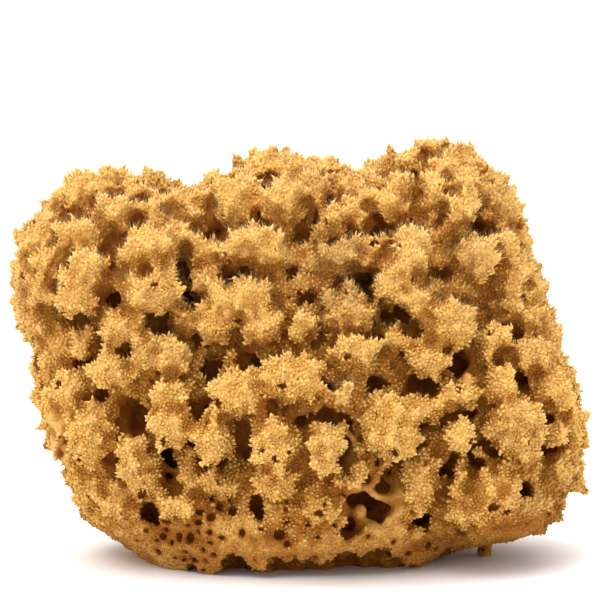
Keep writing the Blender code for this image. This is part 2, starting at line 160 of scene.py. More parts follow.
# Canals of the front: across, up, width, height, roll in degrees, depth
FRONT_CANALS = (
    (-15, 74, 7.5, 5.0, -20, 14), (-27, 69, 4.6, 6.0, 15, 13), (-46, 79, 3.0, 5.0, 10, 9),
    (-57, 89, 4.0, 3.4, 0, 7), (-41, 88, 3.0, 7.0, 5, 8), (-8, 95, 4.0, 6.0, -15, 9),
    (-1, 77, 6.5, 3.6, -10, 11), (3, 86, 3.8, 7.0, 15, 11), (21, 95, 6.0, 4.0, 0, 9),
    (47, 87, 5.0, 8.5, 10, 11), (36, 75, 5.5, 4.0, 20, 11), (16, 73, 6.0, 4.0, -15, 12),
    (3, 68, 4.6, 5.4, 0, 12), (4, 60, 4.0, 5.0, 15, 11), (24, 64, 6.0, 4.6, -20, 10),
    (42, 66, 3.6, 6.0, 0, 11), (53, 78, 3.8, 6.5, 15, 9), (52, 59, 7.0, 3.0, 10, 9),
    (39.5, 53.5, 6.0, 7.6, 25, 15), (8, 48.5, 5.6, 5.0, 0, 14), (20, 48.5, 6.5, 4.0, -10, 13),
    (31, 47.5, 5.5, 4.0, 10, 13), (-55.5, 63, 6.0, 7.0, -20, 10), (-45, 69, 5.5, 4.0, -35, 12),
    (-49, 55.5, 5.5, 6.0, -30, 12), (-49, 46, 2.6, 6.5, 20, 10), (-41, 39, 6.2, 8.0, 20, 14),
    (-22, 52, 7.5, 8.5, -35, 15), (-12, 54, 7.0, 3.6, 10, 13), (-23, 41, 3.6, 3.6, 0, 10),
    (-26.5, 33, 2.8, 4.0, 15, 9), (-23.5, 30, 3.0, 3.6, 0, 9), (-13.5, 34.5, 4.0, 11.5, -42, 12),
    (-32, 26.5, 5.2, 8.0, -20, 14), (-44, 28.5, 3.4, 7.8, 22, 10), (-37, 16.5, 5.8, 5.6, 0, 12),
    (0, 40, 4.0, 5.0, 30, 11), (5.5, 41.5, 4.4, 3.8, 0, 11), (11.5, 34, 4.6, 13.0, 8, 15),
    (28.5, 39, 4.6, 4.6, 0, 12), (40, 41, 7.0, 3.8, -8, 12), (43, 33, 4.0, 8.5, 0, 10),
    (47, 30, 9.0, 3.6, -8, 11), (61, 30.5, 7.0, 3.4, 15, 9), (60, 40, 3.6, 7.0, 0, 8),
    (23, 27, 6.4, 6.4, -30, 12), (36.5, 25, 3.8, 8.0, 10, 11), (18, 19, 11.5, 9.4, 20, 16),
    (12, 11, 5.0, 3.8, 35, 12), (31, 14.5, 7.5, 5.2, 25, 13), (55, 21, 5.5, 4.4, 0, 8),
    (-10, 18.5, 4.0, 6.5, 0, 10), (-10.5, 9, 4.2, 3.2, 30, 10),
)
# Canals of the other sides are spread by rule
OTHER_CANALS = {"spacing": 16, "width": (3.8, 8.5), "stretch": (0.7, 1.5), "depth": (9, 15)}
OTHER_CANAL_TRIES = 1500
CANAL_RIM = 1.6 * MM
POCKET_SHARE = 0.3
POCKET_DEPTH = 0.55
CANAL_LINE = 8 * MM

# Hollows under the edge of the base: the angle round it, and half sizes along the edge, across it
# and upwards, in mm. The edge is an ellipse with this middle and these half widths.
BASE_MIDDLE = -2
BASE_REACH = (41, 28)
BASE_HOLLOWS = (
    (-113, (7, 9, 6.5)),
    (-103, (3, 6, 3.4)),
    (-94, (5.5, 9, 6.2)),
    (-84, (3.5, 8, 4.6)),
    (-66, (12.5, 11, 8.4)),
    (-128, (3.5, 5, 2.4)),
    (-46, (4, 5, 2.6)),
    (-18, (8, 6, 3.6)),
    (38, (12, 6, 4.4)),
    (96, (14, 6, 4.0)),
    (152, (10, 7, 4.2)),
)
BASE_CUT = 3 * MM

# ---- The finer skin ---------------------------------------------------------------------------
# Pores and pinholes of the front: across, up, width, height, in mm on the picture plane
FRONT_PORES = {
    "left skirt": (
        (-38.8, 21.1, 1.2, 1.0), (-40.6, 8.9, 0.9, 0.9), (-35.8, 9.4, 1.3, 1.1),
        (-35.3, 6.3, 1.5, 1.5), (-33.0, 14.2, 2.2, 1.2), (-33.2, 12.2, 1.2, 1.2),
        (-34.0, 10.4, 1.4, 1.5), (-31.9, 9.0, 1.0, 1.0), (-30.0, 10.4, 1.6, 1.9),
        (-27.7, 13.4, 1.2, 1.2), (-27.2, 10.2, 1.9, 2.2), (-25.0, 12.0, 1.0, 1.2),
        (-25.1, 14.3, 1.6, 1.2), (-22.3, 12.0, 1.3, 1.3), (-22.1, 9.4, 1.3, 0.8),
        (-19.3, 10.7, 1.4, 1.0), (-28.4, 6.6, 1.5, 0.9), (-31.2, 5.1, 1.0, 0.9),
        (-28.7, 4.6, 1.0, 0.8), (-26.1, 4.6, 1.5, 1.1), (-23.9, 7.4, 1.0, 1.2),
        (-21.3, 6.1, 1.3, 1.4), (-23.9, 2.0, 1.2, 1.0), (-27.4, 2.0, 1.0, 0.8),
        (-38.0, 12.0, 1.1, 0.9), (-30.4, 15.0, 1.0, 0.8), (-36.8, 14.6, 0.9, 0.9),
    ),
    "left ledge": (
        (-21.8, 20.3, 1.4, 1.2), (-17.3, 20.0, 0.9, 1.2), (-19.8, 18.2, 1.8, 1.7),
        (-16.5, 17.3, 2.2, 2.2), (-24.6, 16.8, 2.0, 1.0), (-21.8, 15.6, 2.2, 1.7),
    ),
    "middle skirt": (
        (-14.2, 11.9, 1.4, 1.8), (-5.1, 11.4, 2.4, 2.3), (-3.1, 9.2, 1.4, 1.4),
        (-9.4, 13.2, 1.2, 0.7), (-3.3, 19.8, 0.9, 0.9), (-3.3, 17.5, 1.1, 1.3),
        (-3.2, 15.0, 1.2, 1.3), (6.1, 19.5, 1.1, 1.1), (4.8, 16.8, 1.4, 0.9),
        (1.8, 14.0, 1.5, 0.7), (4.6, 10.9, 1.0, 0.8), (8.5, 13.8, 1.0, 0.9),
    ),
    "right skirt": (
        (23.1, 9.4, 1.0, 1.0), (19.8, 7.6, 1.0, 0.9), (22.3, 5.8, 1.0, 0.8),
        (26.9, 6.1, 1.2, 1.3), (32.0, 7.8, 1.2, 2.0), (34.0, 6.7, 1.0, 0.8),
        (27.7, 16.2, 1.4, 0.9), (47.5, 17.8, 2.2, 1.7), (51.5, 16.5, 1.6, 1.9),
        (40.1, 10.9, 2.4, 2.0),
    ),
    "tufts": (
        (-4.3, 48.2, 1.5, 1.5), (-8.9, 45.7, 1.0, 1.2), (-5.8, 43.1, 1.5, 1.0),
        (-20.3, 43.9, 1.5, 1.0), (-9.6, 33.0, 1.2, 1.0), (-2.0, 31.7, 1.2, 1.5),
        (-5.8, 30.5, 1.5, 1.0), (-20.3, 24.9, 0.9, 0.9), (17.8, 41.4, 1.1, 1.1),
        (22.8, 32.0, 1.1, 1.1), (19.3, 88.8, 1.3, 1.8), (18.0, 83.0, 1.7, 1.5),
        (23.6, 82.5, 1.7, 2.3), (-20.6, 60.4, 0.9, 0.9), (-19.0, 79.4, 1.3, 1.1),
        (-20.3, 85.8, 1.3, 0.9), (10.9, 71.0, 1.5, 1.5), (17.8, 70.8, 1.3, 1.3),
        (0.0, 70.5, 1.4, 1.3), (-2.5, 69.3, 1.2, 0.8), (2.0, 75.1, 1.3, 0.8),
    ),
}
PORE_DEPTH = (0.8, 0.6 * MM)
PORE_SPREAD = 1.4
TUFT_PORE_SPREAD = 1.0
# Pores and pinholes elsewhere are spread by rule: many in the bare skirt, fewer between the tips
OTHER_PORES = {"skirt gap": 2.4 * MM, "tuft gap": 13 * MM, "width": (0.8, 2.1), "stretch": (0.6, 1.3)}
# Pores aren't round: their walls wander by this much
PORE_BEND_SIZE = 1.6 * MM
PORE_BEND = 0.45 * MM
# Shallow hollows of the front's skirt, where its pores crowd: across, up, half width, half height
# and depth, in mm
SKIRT_HOLLOWS = (
    (-28.5, 10.8, 10.5, 4.6, 2.0), (-19.5, 18.2, 6.0, 3.6, 2.4), (-25.5, 4.6, 7.0, 2.2, 1.5),
    (-35.0, 18.0, 4.5, 3.0, 1.8), (-4.5, 11.5, 4.5, 3.2, 1.6), (4.5, 14.8, 6.0, 2.6, 1.5),
    (30.0, 7.5, 7.0, 2.4, 1.4), (53.0, 13.0, 8.0, 3.0, 1.8),
)
# Struts across the caves of the front: two ends on the picture plane, thickness, and how far the
# ends and the middle lie inside the skin, in mm
STRUTS = (
    ((10, 25.5), (25.5, 18), 2.3, 1.5, 2.6),
    ((14.2, 9.5), (14.8, 17.5), 2.5, 3.5, 5.5),
    ((18.5, 25), (21.5, 30), 1.8, 2.5, 3.0),
    ((-35.5, 30), (-29.5, 25), 1.9, 2.5, 4.0),
    ((-21.5, 48), (-16.5, 55.5), 1.8, 3.0, 4.5),
    ((10.5, 38.5), (14, 33), 1.8, 2.5, 4.0),
    ((43.5, 31.5), (50, 28.5), 1.9, 2.0, 3.5),
)
# Small growths that stand out of the skin: across, up, out from it, and their half sizes
GROWTHS = {
    "left flap": (-59.5, 25.5, 0.5, (1.2, 2.2, 2.8)),
    "right lobe": (63.5, 15.0, 1.4, (3.2, 2.2, 1.6)),
    "right crumb": (60.0, 12.0, 1.4, (2.4, 2.0, 1.3)),
    "lower stub": (47.2, 5.0, 2.2, (2.1, 2.1, 3.4)),
    "stub foot": (48.0, 3.4, 4.0, (1.4, 1.6, 2.0)),
    "foot lump": (-16.0, 2.0, 0.5, (2.6, 2.0, 1.8)),
    "second foot lump": (-8.0, 4.0, 0.4, (2.2, 2.0, 1.6)),
}
BODY_VOXEL = 0.85 * MM
CANAL_VOXEL = 1.0 * MM
SKIN_TRIANGLES = 185000
# Between the tufts the core lies deeper than in the solid, and each tuft stands on a stem
CORE_SINK = 4.6 * MM
SINK_RISE = 7 * MM
TUFT_SPREAD = 0.98
TUFT_DRAW = 1.9 * MM
STEM_SHARE = 0.72
STEM_SINK = 2.5 * MM
# The small heads that each tuft divides into: their gap, and their radius against it
HEAD_GAP = (2.3 * MM, 4.2 * MM)
HEAD_SHARE = 0.50
HEAD_SUNK = 0.0
HEAD_STRETCH = (1.4, 1.55)
HEAD_LEAN = (0.3, 0.6)
CREVICE_HEAD = 0.7
# Heads crowd the canals' rims, but not their walls below this depth
RIM_DEPTH = 2.5 * MM
# On the bare skirt the heads are only low lumps
SKIRT_SUNK = 0.62
SKIRT_STRETCH = 0.95
# Bends in the canals' walls
CANAL_SPREAD = (1.32, 1.0)
CANAL_BEND_SIZE = 4.5 * MM
CANAL_BEND = 3.2 * MM
CANAL_FRAY_SIZE = 1.7 * MM
CANAL_FRAY = 1.3 * MM
# Rays that tell how open each spot lies, and how far off they look
OPEN_RAYS = 14
OPEN_REACH = 9 * MM
# The rounds of smoothing that tell crests from creases, on the tufts and on their small heads
CREST_ROUNDS = 16
FLORET_ROUNDS = 4
# How far the skin lies inside the solid, which reaches to the ends of the tips
TIP_ROOM = 0.9 * MM

# ---- The tips and fibres ----------------------------------------------------------------------
TIP_GAP = (0.72 * MM, 0.96 * MM)
TIP_HEIGHT = (0.5 * MM, 1.2 * MM)
TIP_RADIUS = (0.38 * MM, 0.58 * MM)
TIP_ROUGH = 0.10 * MM
# Spots where the front is bare and smooth: across, up, and half width and height, in mm
SMOOTH_SPOTS = (
    (18.0, 19.5, 8.0, 6.5), (21.0, 23.5, 5.0, 3.5), (-60.5, 36.0, 3.0, 8.0), (55.0, 86.5, 2.0, 3.0),
    (40.0, 53.5, 3.2, 4.0), (-41.0, 39.0, 3.0, 4.2), (-32.0, 27.0, 2.6, 4.0),
)
# Spots where long pale fibres fray out of the front: across, up, and their number
FRAYED_SPOTS = (
    (48.2, 55.3, 46), (54.6, 57.1, 40), (62.7, 52.0, 34), (10.9, 50.0, 60), (8.5, 48.0, 30),
    (-6.5, 62.0, 24), (36.0, 70.5, 26), (2.5, 77.0, 30), (66.0, 60.0, 26), (45.0, 41.0, 24),
)
FRAYED_LENGTH = (1.2 * MM, 3.2 * MM)
FRAYED_SPREAD = 1.5 * MM
# Below this height the skirt bears only grains: the share of a tip's radius and of its height
GRANULE_LINE = 15 * MM
GRAIN_SHARE = (0.8, 0.42)
TIP_PIECES = 3
TIP_KNOWS = ("openness", "tufted", "crest", "floret", "painted_top_light", "under", "soft", "hollow", "dusk")
# Browner, duller patches of the front: across, up, half width and half height, in mm, and how dull
DUSKY_PATCHES = (
    (10.0, 76.0, 9.0, 12.0, 1.0), (40.0, 81.0, 7.0, 8.0, 0.7), (51.0, 96.0, 6.0, 8.0, 0.6),
    (54.0, 37.0, 9.0, 6.0, 0.5), (-37.5, 57.0, 6.0, 4.5, 0.6), (8.0, 98.0, 9.0, 4.5, 0.4),
    (63.0, 19.0, 14.0, 9.0, 0.7), (-27.0, 9.0, 14.0, 7.0, 0.25), (-19.0, 18.5, 6.5, 4.0, 0.4),
    (71.0, 52.0, 4.0, 9.0, 0.5), (-70.0, 68.0, 5.0, 9.0, 0.5), (10.0, 32.5, 7.0, 4.0, 0.4),
)
FIBRE_LENGTH = (0.9 * MM, 2.0 * MM)
FIBRE_RADIUS = 0.050 * MM


def deselect_all():
    for obj in list(bpy.context.selected_objects):
        obj.select_set(False)


def pick(obj):
    """Selects this object alone, so that an operator works on nothing else."""
    deselect_all()
    obj.select_set(True)
    bpy.context.view_layer.objects.active = obj


def apply_all(obj):
    """Applies its modifiers in order."""
    pick(obj)
    for modifier in list(obj.modifiers):
        bpy.ops.object.modifier_apply(modifier=modifier.name)


def grow_object(name, bm):
    mesh = bpy.data.meshes.new(name)
    bm.to_mesh(mesh)
    bm.free()
    obj = bpy.data.objects.new(name, mesh)
    bpy.context.scene.collection.objects.link(obj)
    return obj


# ---- The camera, the floor and the light ------------------------------------------------------


def place_camera():
    way = Vector((0, -math.cos(CAMERA_ELEVATION), math.sin(CAMERA_ELEVATION)))
    bpy.ops.object.camera_add(location=CAMERA_TARGET + way * CAMERA_DISTANCE)
    camera = bpy.context.object
    camera.name = "photo_camera"
    camera.rotation_euler = (-way).to_track_quat("-Z", "Y").to_euler()
    camera.data.sensor_width = CAMERA_SENSOR
    camera.data.lens = CAMERA_SENSOR * CAMERA_DISTANCE / CAMERA_FIELD
    camera.data.clip_end = 20
    bpy.context.scene.camera = camera


def soft_sun(name, azimuth, elevation, spread, strength):
    """A wide, even light from one side of the studio."""
    bpy.ops.object.light_add(type="SUN", location=(0, 0, 1))
    sun = bpy.context.object
    sun.name = name
    sun.data.energy = strength
    sun.data.angle = math.radians(spread)
    turn = math.radians(azimuth)
    high = math.radians(elevation)
    way = Vector((math.sin(turn) * math.cos(high), -math.cos(turn) * math.cos(high), math.sin(high)))
    sun.rotation_euler = (-way).to_track_quat("-Z", "Y").to_euler()


def light_the_studio():
    world = bpy.data.worlds.new("studio_white")
    bpy.context.scene.world = world
    world.use_nodes = True
    sky = world.node_tree.nodes["Background"]
    sky.inputs["Color"].default_value = (1, 1, 1, 1)
    sky.inputs["Strength"].default_value = 1.0
    soft_sun("key_light", -38, 60, 46, 2.2)
    soft_sun("top_light", 165, 66, 52, 1.5)
    bpy.context.scene.view_settings.view_transform = "Standard"


def lay_floor():
    bpy.ops.mesh.primitive_plane_add(size=30, location=(0, 0, 0))
    floor = bpy.context.object
    floor.name = "studio_floor"
    white = bpy.data.materials.new("floor_white")
    white.use_nodes = True
    shader = white.node_tree.nodes["Principled BSDF"]
    shader.inputs["Base Color"].default_value = (0.93, 0.93, 0.93, 1)
    shader.inputs["Roughness"].default_value = 0.8
    floor.data.materials.append(white)


# ---- Growing the body -------------------------------------------------------------------------


def fuse(obj, voxel, smooth_rounds):
    """Joins overlapping shapes into one skin."""
    remesh = obj.modifiers.new("fuse", "REMESH")
    remesh.mode = "VOXEL"
    remesh.voxel_size = voxel
    smooth = obj.modifiers.new("smooth", "SMOOTH")
    smooth.factor = 0.5
    smooth.iterations = smooth_rounds
    apply_all(obj)


def swell(obj, size, height):
    """Slow bumps and dips, along the skin's normals, that break its roundness."""
    normals = [vert.normal.copy() for vert in obj.data.vertices]
    for vert, normal in zip(obj.data.vertices, normals):
        vert.co += normal * noise.noise(vert.co / size) * height


def unit_ball(detail, squareness):
    """A ball of radius 1. A squareness above 2 flattens its top and fills its corners."""
    deselect_all()
    bpy.ops.mesh.primitive_ico_sphere_add(subdivisions=detail, radius=1)
    ball = bpy.context.object
    for vert in ball.data.vertices:
        vert.co /= sum(abs(c) ** squareness for c in vert.co) ** (1 / squareness)
    mesh = ball.data
    bpy.data.objects.remove(ball)
    return mesh


def add_ball(bm, ball, centre, radii, turn=Matrix.Identity(3)):
    """Adds a stretched copy of a unit ball."""
    placed = ball.copy()
    placed.transform(Matrix.Translation(centre) @ turn.to_4x4() @ Matrix.Diagonal((*radii, 1)))
    bm.from_mesh(placed)
    bpy.data.meshes.remove(placed)


def upright_to(direction, roll=0.0):
    """A turn that takes +Z to the direction and keeps +Y upwards, rolled about the direction."""
    return direction.to_track_quat("Z", "Y").to_matrix() @ Matrix.Rotation(roll, 3, "Z")


def build_core():
    """The lobes, fused."""
    bm = bmesh.new()
    ball = unit_ball(detail=4, squareness=2)
    for centre, radii in LOBES.values():
        add_ball(bm, ball, Vector(centre) * MM, [r * MM for r in radii])
    core = grow_object("core", bm)
    fuse(core, CORE_VOXEL, smooth_rounds=6)
    swell(core, SWELL_SIZE, SWELL_HEIGHT)
    return core


def skin_of(obj):
    bm = bmesh.new()
    bm.from_mesh(obj.data)
    tree = BVHTree.FromBMesh(bm)
    bm.free()
    return tree


def scattered_points(skin, rng, tries):
    """Random places on the core's skin, with their normals, found by looking out from its centre."""
    for _ in range(tries):
        up = rng.uniform(-1, 1)
        round_about = rng.uniform(0, math.tau)
        across = math.sqrt(1 - up * up)
        way = Vector((across * math.cos(round_about), across * math.sin(round_about), up))
        place, normal, _, _ = skin.ray_cast(CENTRE, way)
        if place:
            yield place, normal


def front_point(skin, across, up):
    """Where the line of sight through a spot of the picture plane meets the core, or passes it."""
    sight = Vector((0, math.cos(SEEN_FROM_ABOVE), -math.sin(SEEN_FROM_ABOVE)))
    raised = Vector((0, math.sin(SEEN_FROM_ABOVE), math.cos(SEEN_FROM_ABOVE)))
    front_edge = Vector((0, -LOBES["foot"][1][1] * MM, BASE_CUT))
    sideways = Vector((LAYOUT_MIDDLE + across * LAYOUT_WIDTH * MM, 0, 0))
    spot = front_edge + sideways + raised * up * LAYOUT_HEIGHT * MM
    place, normal, _, _ = skin.ray_cast(spot - sight * WIDTH, sight)
    if not place:
        beside = spot - sight * spot.y / sight.y
        place, normal, _, _ = skin.find_nearest(beside)
    return place, normal, sight


def plan_canals(skin, rng):
    """Every canal as (mouth, way in, width, height, roll, depth), the front ones where they show."""
    canals = []
    for across, up, width, height, roll, depth in FRONT_CANALS:
        mouth, normal, sight = front_point(skin, across, up)
        way_in = (sight - normal).normalized()
        canals.append((mouth, way_in, width * MM, height * MM, math.radians(roll), depth * MM))
    rule = OTHER_CANALS
    for mouth, normal in scattered_points(skin, rng, OTHER_CANAL_TRIES):
        seen_in_front = normal.y < -0.25
        too_near = any((mouth - c[0]).length < rule["spacing"] * MM for c in canals)
        if seen_in_front or too_near or mouth.z < CANAL_LINE:
            continue
        width = rng.uniform(*rule["width"]) * MM
        height = width * rng.uniform(*rule["stretch"])
        depth = rng.uniform(*rule["depth"]) * MM
        canals.append((mouth, -normal, width, height, rng.uniform(0, math.pi), depth))
    return canals


def tuft_line(place, line=TUFT_LINE):
    """The height where the tufts end and the bare skirt of the base begins."""
    return line + SKIRT_WAVE * noise.noise(place / SWELL_SIZE)


def add_tuft(bm, cushion, place, normal, half_width, half_height, roll=0.0):
    """A cushion-shaped head on a stem. It stands out of the skin and leans upwards."""
    out = (normal + Vector((0, 0, TUFT_LEAN))).normalized()
    turn = upright_to(out, roll)
    least, share = TUFT_THICKNESS
    thickness = least + share * min(half_width, half_height) - TUFT_DRAW
    centre = place + normal * TUFT_RISE
    trim = TUFT_TRIM * TUFT_SPREAD
    add_ball(bm, cushion, centre, (half_width * trim, half_height * trim, thickness), turn)
    stem = (half_width * STEM_SHARE, half_height * STEM_SHARE, thickness)
    add_ball(bm, cushion, place - normal * STEM_SINK, stem, turn)


def grow_tufts(core, skin, canals, rng):
    """Adds the tufts to the core's mesh, those of the other sides clear of the canals' mouths."""
    bm = bmesh.new()
    bm.from_mesh(core.data)
    cushion = unit_ball(detail=3, squareness=TUFT_SQUARENESS)
    grown = []
    for tufts in FRONT_TUFTS.values():
        for across, up, half_width, half_height in tufts:
            place, normal, _ = front_point(skin, across, up)
            add_tuft(bm, cushion, place, normal, half_width * MM, half_height * MM)
            grown.append((place, (half_width + half_height) / 2 * MM))
    for rule in OTHER_TUFTS:
        for place, normal in scattered_points(skin, rng, TUFT_TRIES):
            if place.z < tuft_line(place) or normal.y < -0.55:
                continue
            half_width = rng.uniform(*rule["half_width"]) * MM
            half_height = half_width * rng.uniform(*rule["stretch"])
            size = (half_width + half_height) / 2
            crowded = any(
                (place - other).length < (size + reach) * rule["gap"] / 2 for other, reach in grown
            )
            over_canal = any(
                (place - mouth).length < (width + height) / 4 + CANAL_RIM
                for mouth, _, width, height, _, _ in canals
            )
            if crowded or over_canal:
                continue
            grown.append((place, size))
            add_tuft(bm, cushion, place, normal, half_width, half_height, rng.uniform(0, math.tau))
    return bm


def sink_core(core):
    """Lowers the core between the tufts, and leaves the bare skirt where it is."""
    mesh = core.data
    normals = [vert.normal.copy() for vert in mesh.vertices]
    for vert, normal in zip(mesh.vertices, normals):
        line = tuft_line(vert.co)
        share = min(1.0, max(0.0, (vert.co.z - line) / SINK_RISE))
        vert.co -= normal * CORE_SINK * share


def divide_into_heads(body, skin, canal_skin):
    """Covers the tufts with small heads, close together, so that creases run between them."""
    rng = np.random.default_rng(5)
    places, normals = scatter(body.data, rng, 60000)
    above = []
    for place in places:
        near, out, _, _ = skin.find_nearest(place)
        height = (Vector(place) - near).dot(out)
        on_wall = canal_skin.find_nearest(place)[3] < 0.5 * MM and height < -RIM_DEPTH
        above.append(-1 if on_wall else height)
    above = np.array(above)
    lines = np.array([tuft_line(Vector(place), GRANULE_LINE) for place in places])
    bare = 1 - smoothstep(-4 * MM, 3 * MM, places[:, 2] - lines + above)
    grown = (above > -1) & (places[:, 2] > BASE_CUT)
    places, normals, above, bare = places[grown], normals[grown], above[grown], bare[grown]
    low, high = HEAD_GAP
    gaps = low + (high - low) * rng.random(len(places)) ** 1.5
    gaps *= CREVICE_HEAD + (1 - CREVICE_HEAD) * smoothstep(-2 * MM, 1 * MM, above)
    taken = spaced(places, gaps)
    upper = smoothstep(38 * MM, 76 * MM, places[:, 2])
    bm = bmesh.new()
    bm.from_mesh(body.data)
    ball = unit_ball(detail=2, squareness=2.2)
    for index in taken:
        radius = gaps[index] * HEAD_SHARE
        sizes = [radius * rng.uniform(0.85, 1.15) for _ in range(3)]
        normal = Vector(normals[index])
        lean = HEAD_LEAN[0] + (HEAD_LEAN[1] - HEAD_LEAN[0]) * upper[index]
        out = (normal + Vector((0, 0, lean)) + Vector(rng.normal(size=3)) * 0.2).normalized()
        sunk = HEAD_SUNK + (SKIRT_SUNK - HEAD_SUNK) * bare[index]
        stretch = HEAD_STRETCH[0] + (HEAD_STRETCH[1] - HEAD_STRETCH[0]) * upper[index]
        stretch *= rng.uniform(0.85, 1.15)
        stretch += (SKIRT_STRETCH - stretch) * bare[index]
        centre = Vector(places[index]) - normal * radius * sunk
        add_ball(bm, ball, centre, (sizes[0], sizes[1], radius * stretch), upright_to(out))
    add_struts(bm, ball, skin)
    bm.to_mesh(body.data)
    bm.free()
    fuse(body, BODY_VOXEL, smooth_rounds=1)


def add_struts(bm, ball, skin):
    """Struts across the caves, each a row of balls, and the growths that stand out of the skin."""
    for start, end, thick, end_depth, middle_depth in STRUTS:
        ends = []
        for across, up in (start, end):
            place, _, sight = front_point(skin, across, up)
            ends.append(place + sight * end_depth * MM)
        for step in range(17):
            share = step / 16
            bow = math.sin(share * math.pi)
            inward = sight * (middle_depth - end_depth) * bow * MM
            centre = ends[0].lerp(ends[1], share) + inward
            wander = noise.noise_vector(centre / (4 * MM)) * 0.8 * MM
            radius = thick / 2 * (1.5 - 0.55 * bow) * MM
            add_ball(bm, ball, centre + wander, (radius, radius, radius))
    for across, up, out, sizes in GROWTHS.values():
        place, normal, _ = front_point(skin, across, up)
        centre = place + normal * out * MM
        add_ball(bm, ball, centre, [size * MM for size in sizes])


def bore_canals(canals):
    """One cutter of all the canals. Each is a stretched ball, with a side pocket at its foot."""
    bm = bmesh.new()
    ball = unit_ball(detail=3, squareness=2)
    for mouth, way_in, width, height, roll, depth in canals:
        turn = upright_to(way_in, roll)
        spread = np.interp(mouth.z, (45 * MM, 72 * MM), CANAL_SPREAD)
        add_ball(bm, ball, mouth, (width / 2 * spread, height / 2 * spread, depth), turn)
        pocket = (width + height) * POCKET_SHARE
        aside = turn @ Vector((pocket / 2, 0, 0))
        add_ball(bm, ball, mouth + way_in * depth * POCKET_DEPTH + aside, (pocket,) * 3)
    cutter = grow_object("canal_cutter", bm)
    fuse(cutter, CANAL_VOXEL, smooth_rounds=2)
    swell(cutter, CANAL_BEND_SIZE, CANAL_BEND)
    swell(cutter, CANAL_FRAY_SIZE, CANAL_FRAY)
    return cutter


def hollow_base():
    """One cutter of the hollows that leave the base standing on broad feet."""
    bm = bmesh.new()
    ball = unit_ball(detail=3, squareness=2)
    reach_x, reach_y = BASE_REACH
    for degrees, (along, across, high) in BASE_HOLLOWS:
        angle = math.radians(degrees)
        turn = Matrix.Rotation(angle, 3, "Z")
        edge_x = BASE_MIDDLE + reach_x * math.cos(angle)
        centre = Vector((edge_x, reach_y * math.sin(angle), 0)) * MM + Vector((0, 0, BASE_CUT))
        add_ball(bm, ball, centre, (across * MM, along * MM, high * MM), turn)
    cutter = grow_object("base_hollow_cutter", bm)
    fuse(cutter, CANAL_VOXEL, smooth_rounds=2)
    swell(cutter, CANAL_BEND_SIZE, CANAL_BEND)
    swell(cutter, CANAL_FRAY_SIZE, CANAL_FRAY)
    return cutter


def hollow_skirt(skin):
    """One cutter of the shallow hollows in the skirt."""
    bm = bmesh.new()
    ball = unit_ball(detail=3, squareness=2)
    for across, up, half_width, half_height, depth in SKIRT_HOLLOWS:
        place, normal, _ = front_point(skin, across, up)
        sizes = (half_width * MM, half_height * MM, depth * 2 * MM)
        add_ball(bm, ball, place + normal * depth * MM, sizes, upright_to(normal))
    cutter = grow_object("skirt_hollow_cutter", bm)
    fuse(cutter, CANAL_VOXEL, smooth_rounds=2)
    swell(cutter, CANAL_BEND_SIZE, CANAL_BEND / 2)
    return cutter


def open_pores(body, rng):
    """One cutter of all the pores and pinholes, set where the skin is."""
    skin = skin_of(body)
    pores = []
    for name, region in FRONT_PORES.items():
        spread = TUFT_PORE_SPREAD if name == "tufts" else PORE_SPREAD
        for across, up, width, height in region:
            place, normal, sight = front_point(skin, across, up)
            way_in = (sight * 1.5 - normal).normalized()
            pores.append((place, way_in, width * spread * MM, height * spread * MM, 0.0))
    rule = OTHER_PORES
    places, normals = scatter(body.data, np.random.default_rng(8), 30000)
    tree = KDTree(4000)
    for place, *_ in pores:
        tree.insert(place, 0)
    tree.balance()
    chosen = []
    bare = np.array([place[2] < tuft_line(Vector(place), GRANULE_LINE) for place in places])
    gaps = np.where(bare, rule["skirt gap"], rule["tuft gap"])
    for index in spaced(places, gaps):
        place = Vector(places[index])
        normal = Vector(normals[index])
        near_front = tree.find(place)[2] < gaps[index]
        under = place.z < BASE_CUT + 1.2 * MM or normal.z < -0.75
        seen_in_front = normal.y < -0.3 and bare[index]
        if near_front or under or (seen_in_front and rng.random() < 0.6):
            continue
        width = rng.uniform(*rule["width"]) * MM
        height = width * rng.uniform(*rule["stretch"])
        chosen.append((place, -normal, width, height, rng.uniform(0, math.pi)))
    bm = bmesh.new()
    deselect_all()
    bpy.ops.mesh.primitive_uv_sphere_add(segments=8, ring_count=6, radius=1)
    ball = bpy.context.object
    share, least = PORE_DEPTH
    for place, way_in, width, height, roll in pores + chosen:
        depth = least + share * (width + height) / 2
        add_ball(bm, ball.data, place, (width / 2, height / 2, depth), upright_to(way_in, roll))
    bpy.data.objects.remove(ball)
    cutter = grow_object("pore_cutter", bm)
    swell(cutter, PORE_BEND_SIZE, PORE_BEND)
    return cutter


def cut_away(obj, cutter):
    """The exact solver loses the whole body on skins as dense as these, so the manifold one cuts."""
    boolean = obj.modifiers.new(cutter.name, "BOOLEAN")
    boolean.operation = "DIFFERENCE"
    boolean.solver = "MANIFOLD"
    boolean.object = cutter
    apply_all(obj)


def keep_largest_body(obj):
    """Drops crumbs that a canal has cut loose."""
    bm = bmesh.new()
    bm.from_mesh(obj.data)
    left = set(bm.verts)
    bodies = []
    while left:
        edge_of_body = [left.pop()]
        body = set(edge_of_body)
        while edge_of_body:
            for edge in edge_of_body.pop().link_edges:
                for vert in edge.verts:
                    if vert in left:
                        left.remove(vert)
                        body.add(vert)
                        edge_of_body.append(vert)
        bodies.append(body)
    bodies.sort(key=len)
    for body in bodies[:-1]:
        bmesh.ops.delete(bm, geom=list(body), context="VERTS")
    bm.to_mesh(obj.data)
    bm.free()


def points_of(mesh):
    flat = np.empty(len(mesh.vertices) * 3, dtype=np.float32)
    mesh.vertices.foreach_get("co", flat)
    return flat.reshape(-1, 3).astype(np.float64)


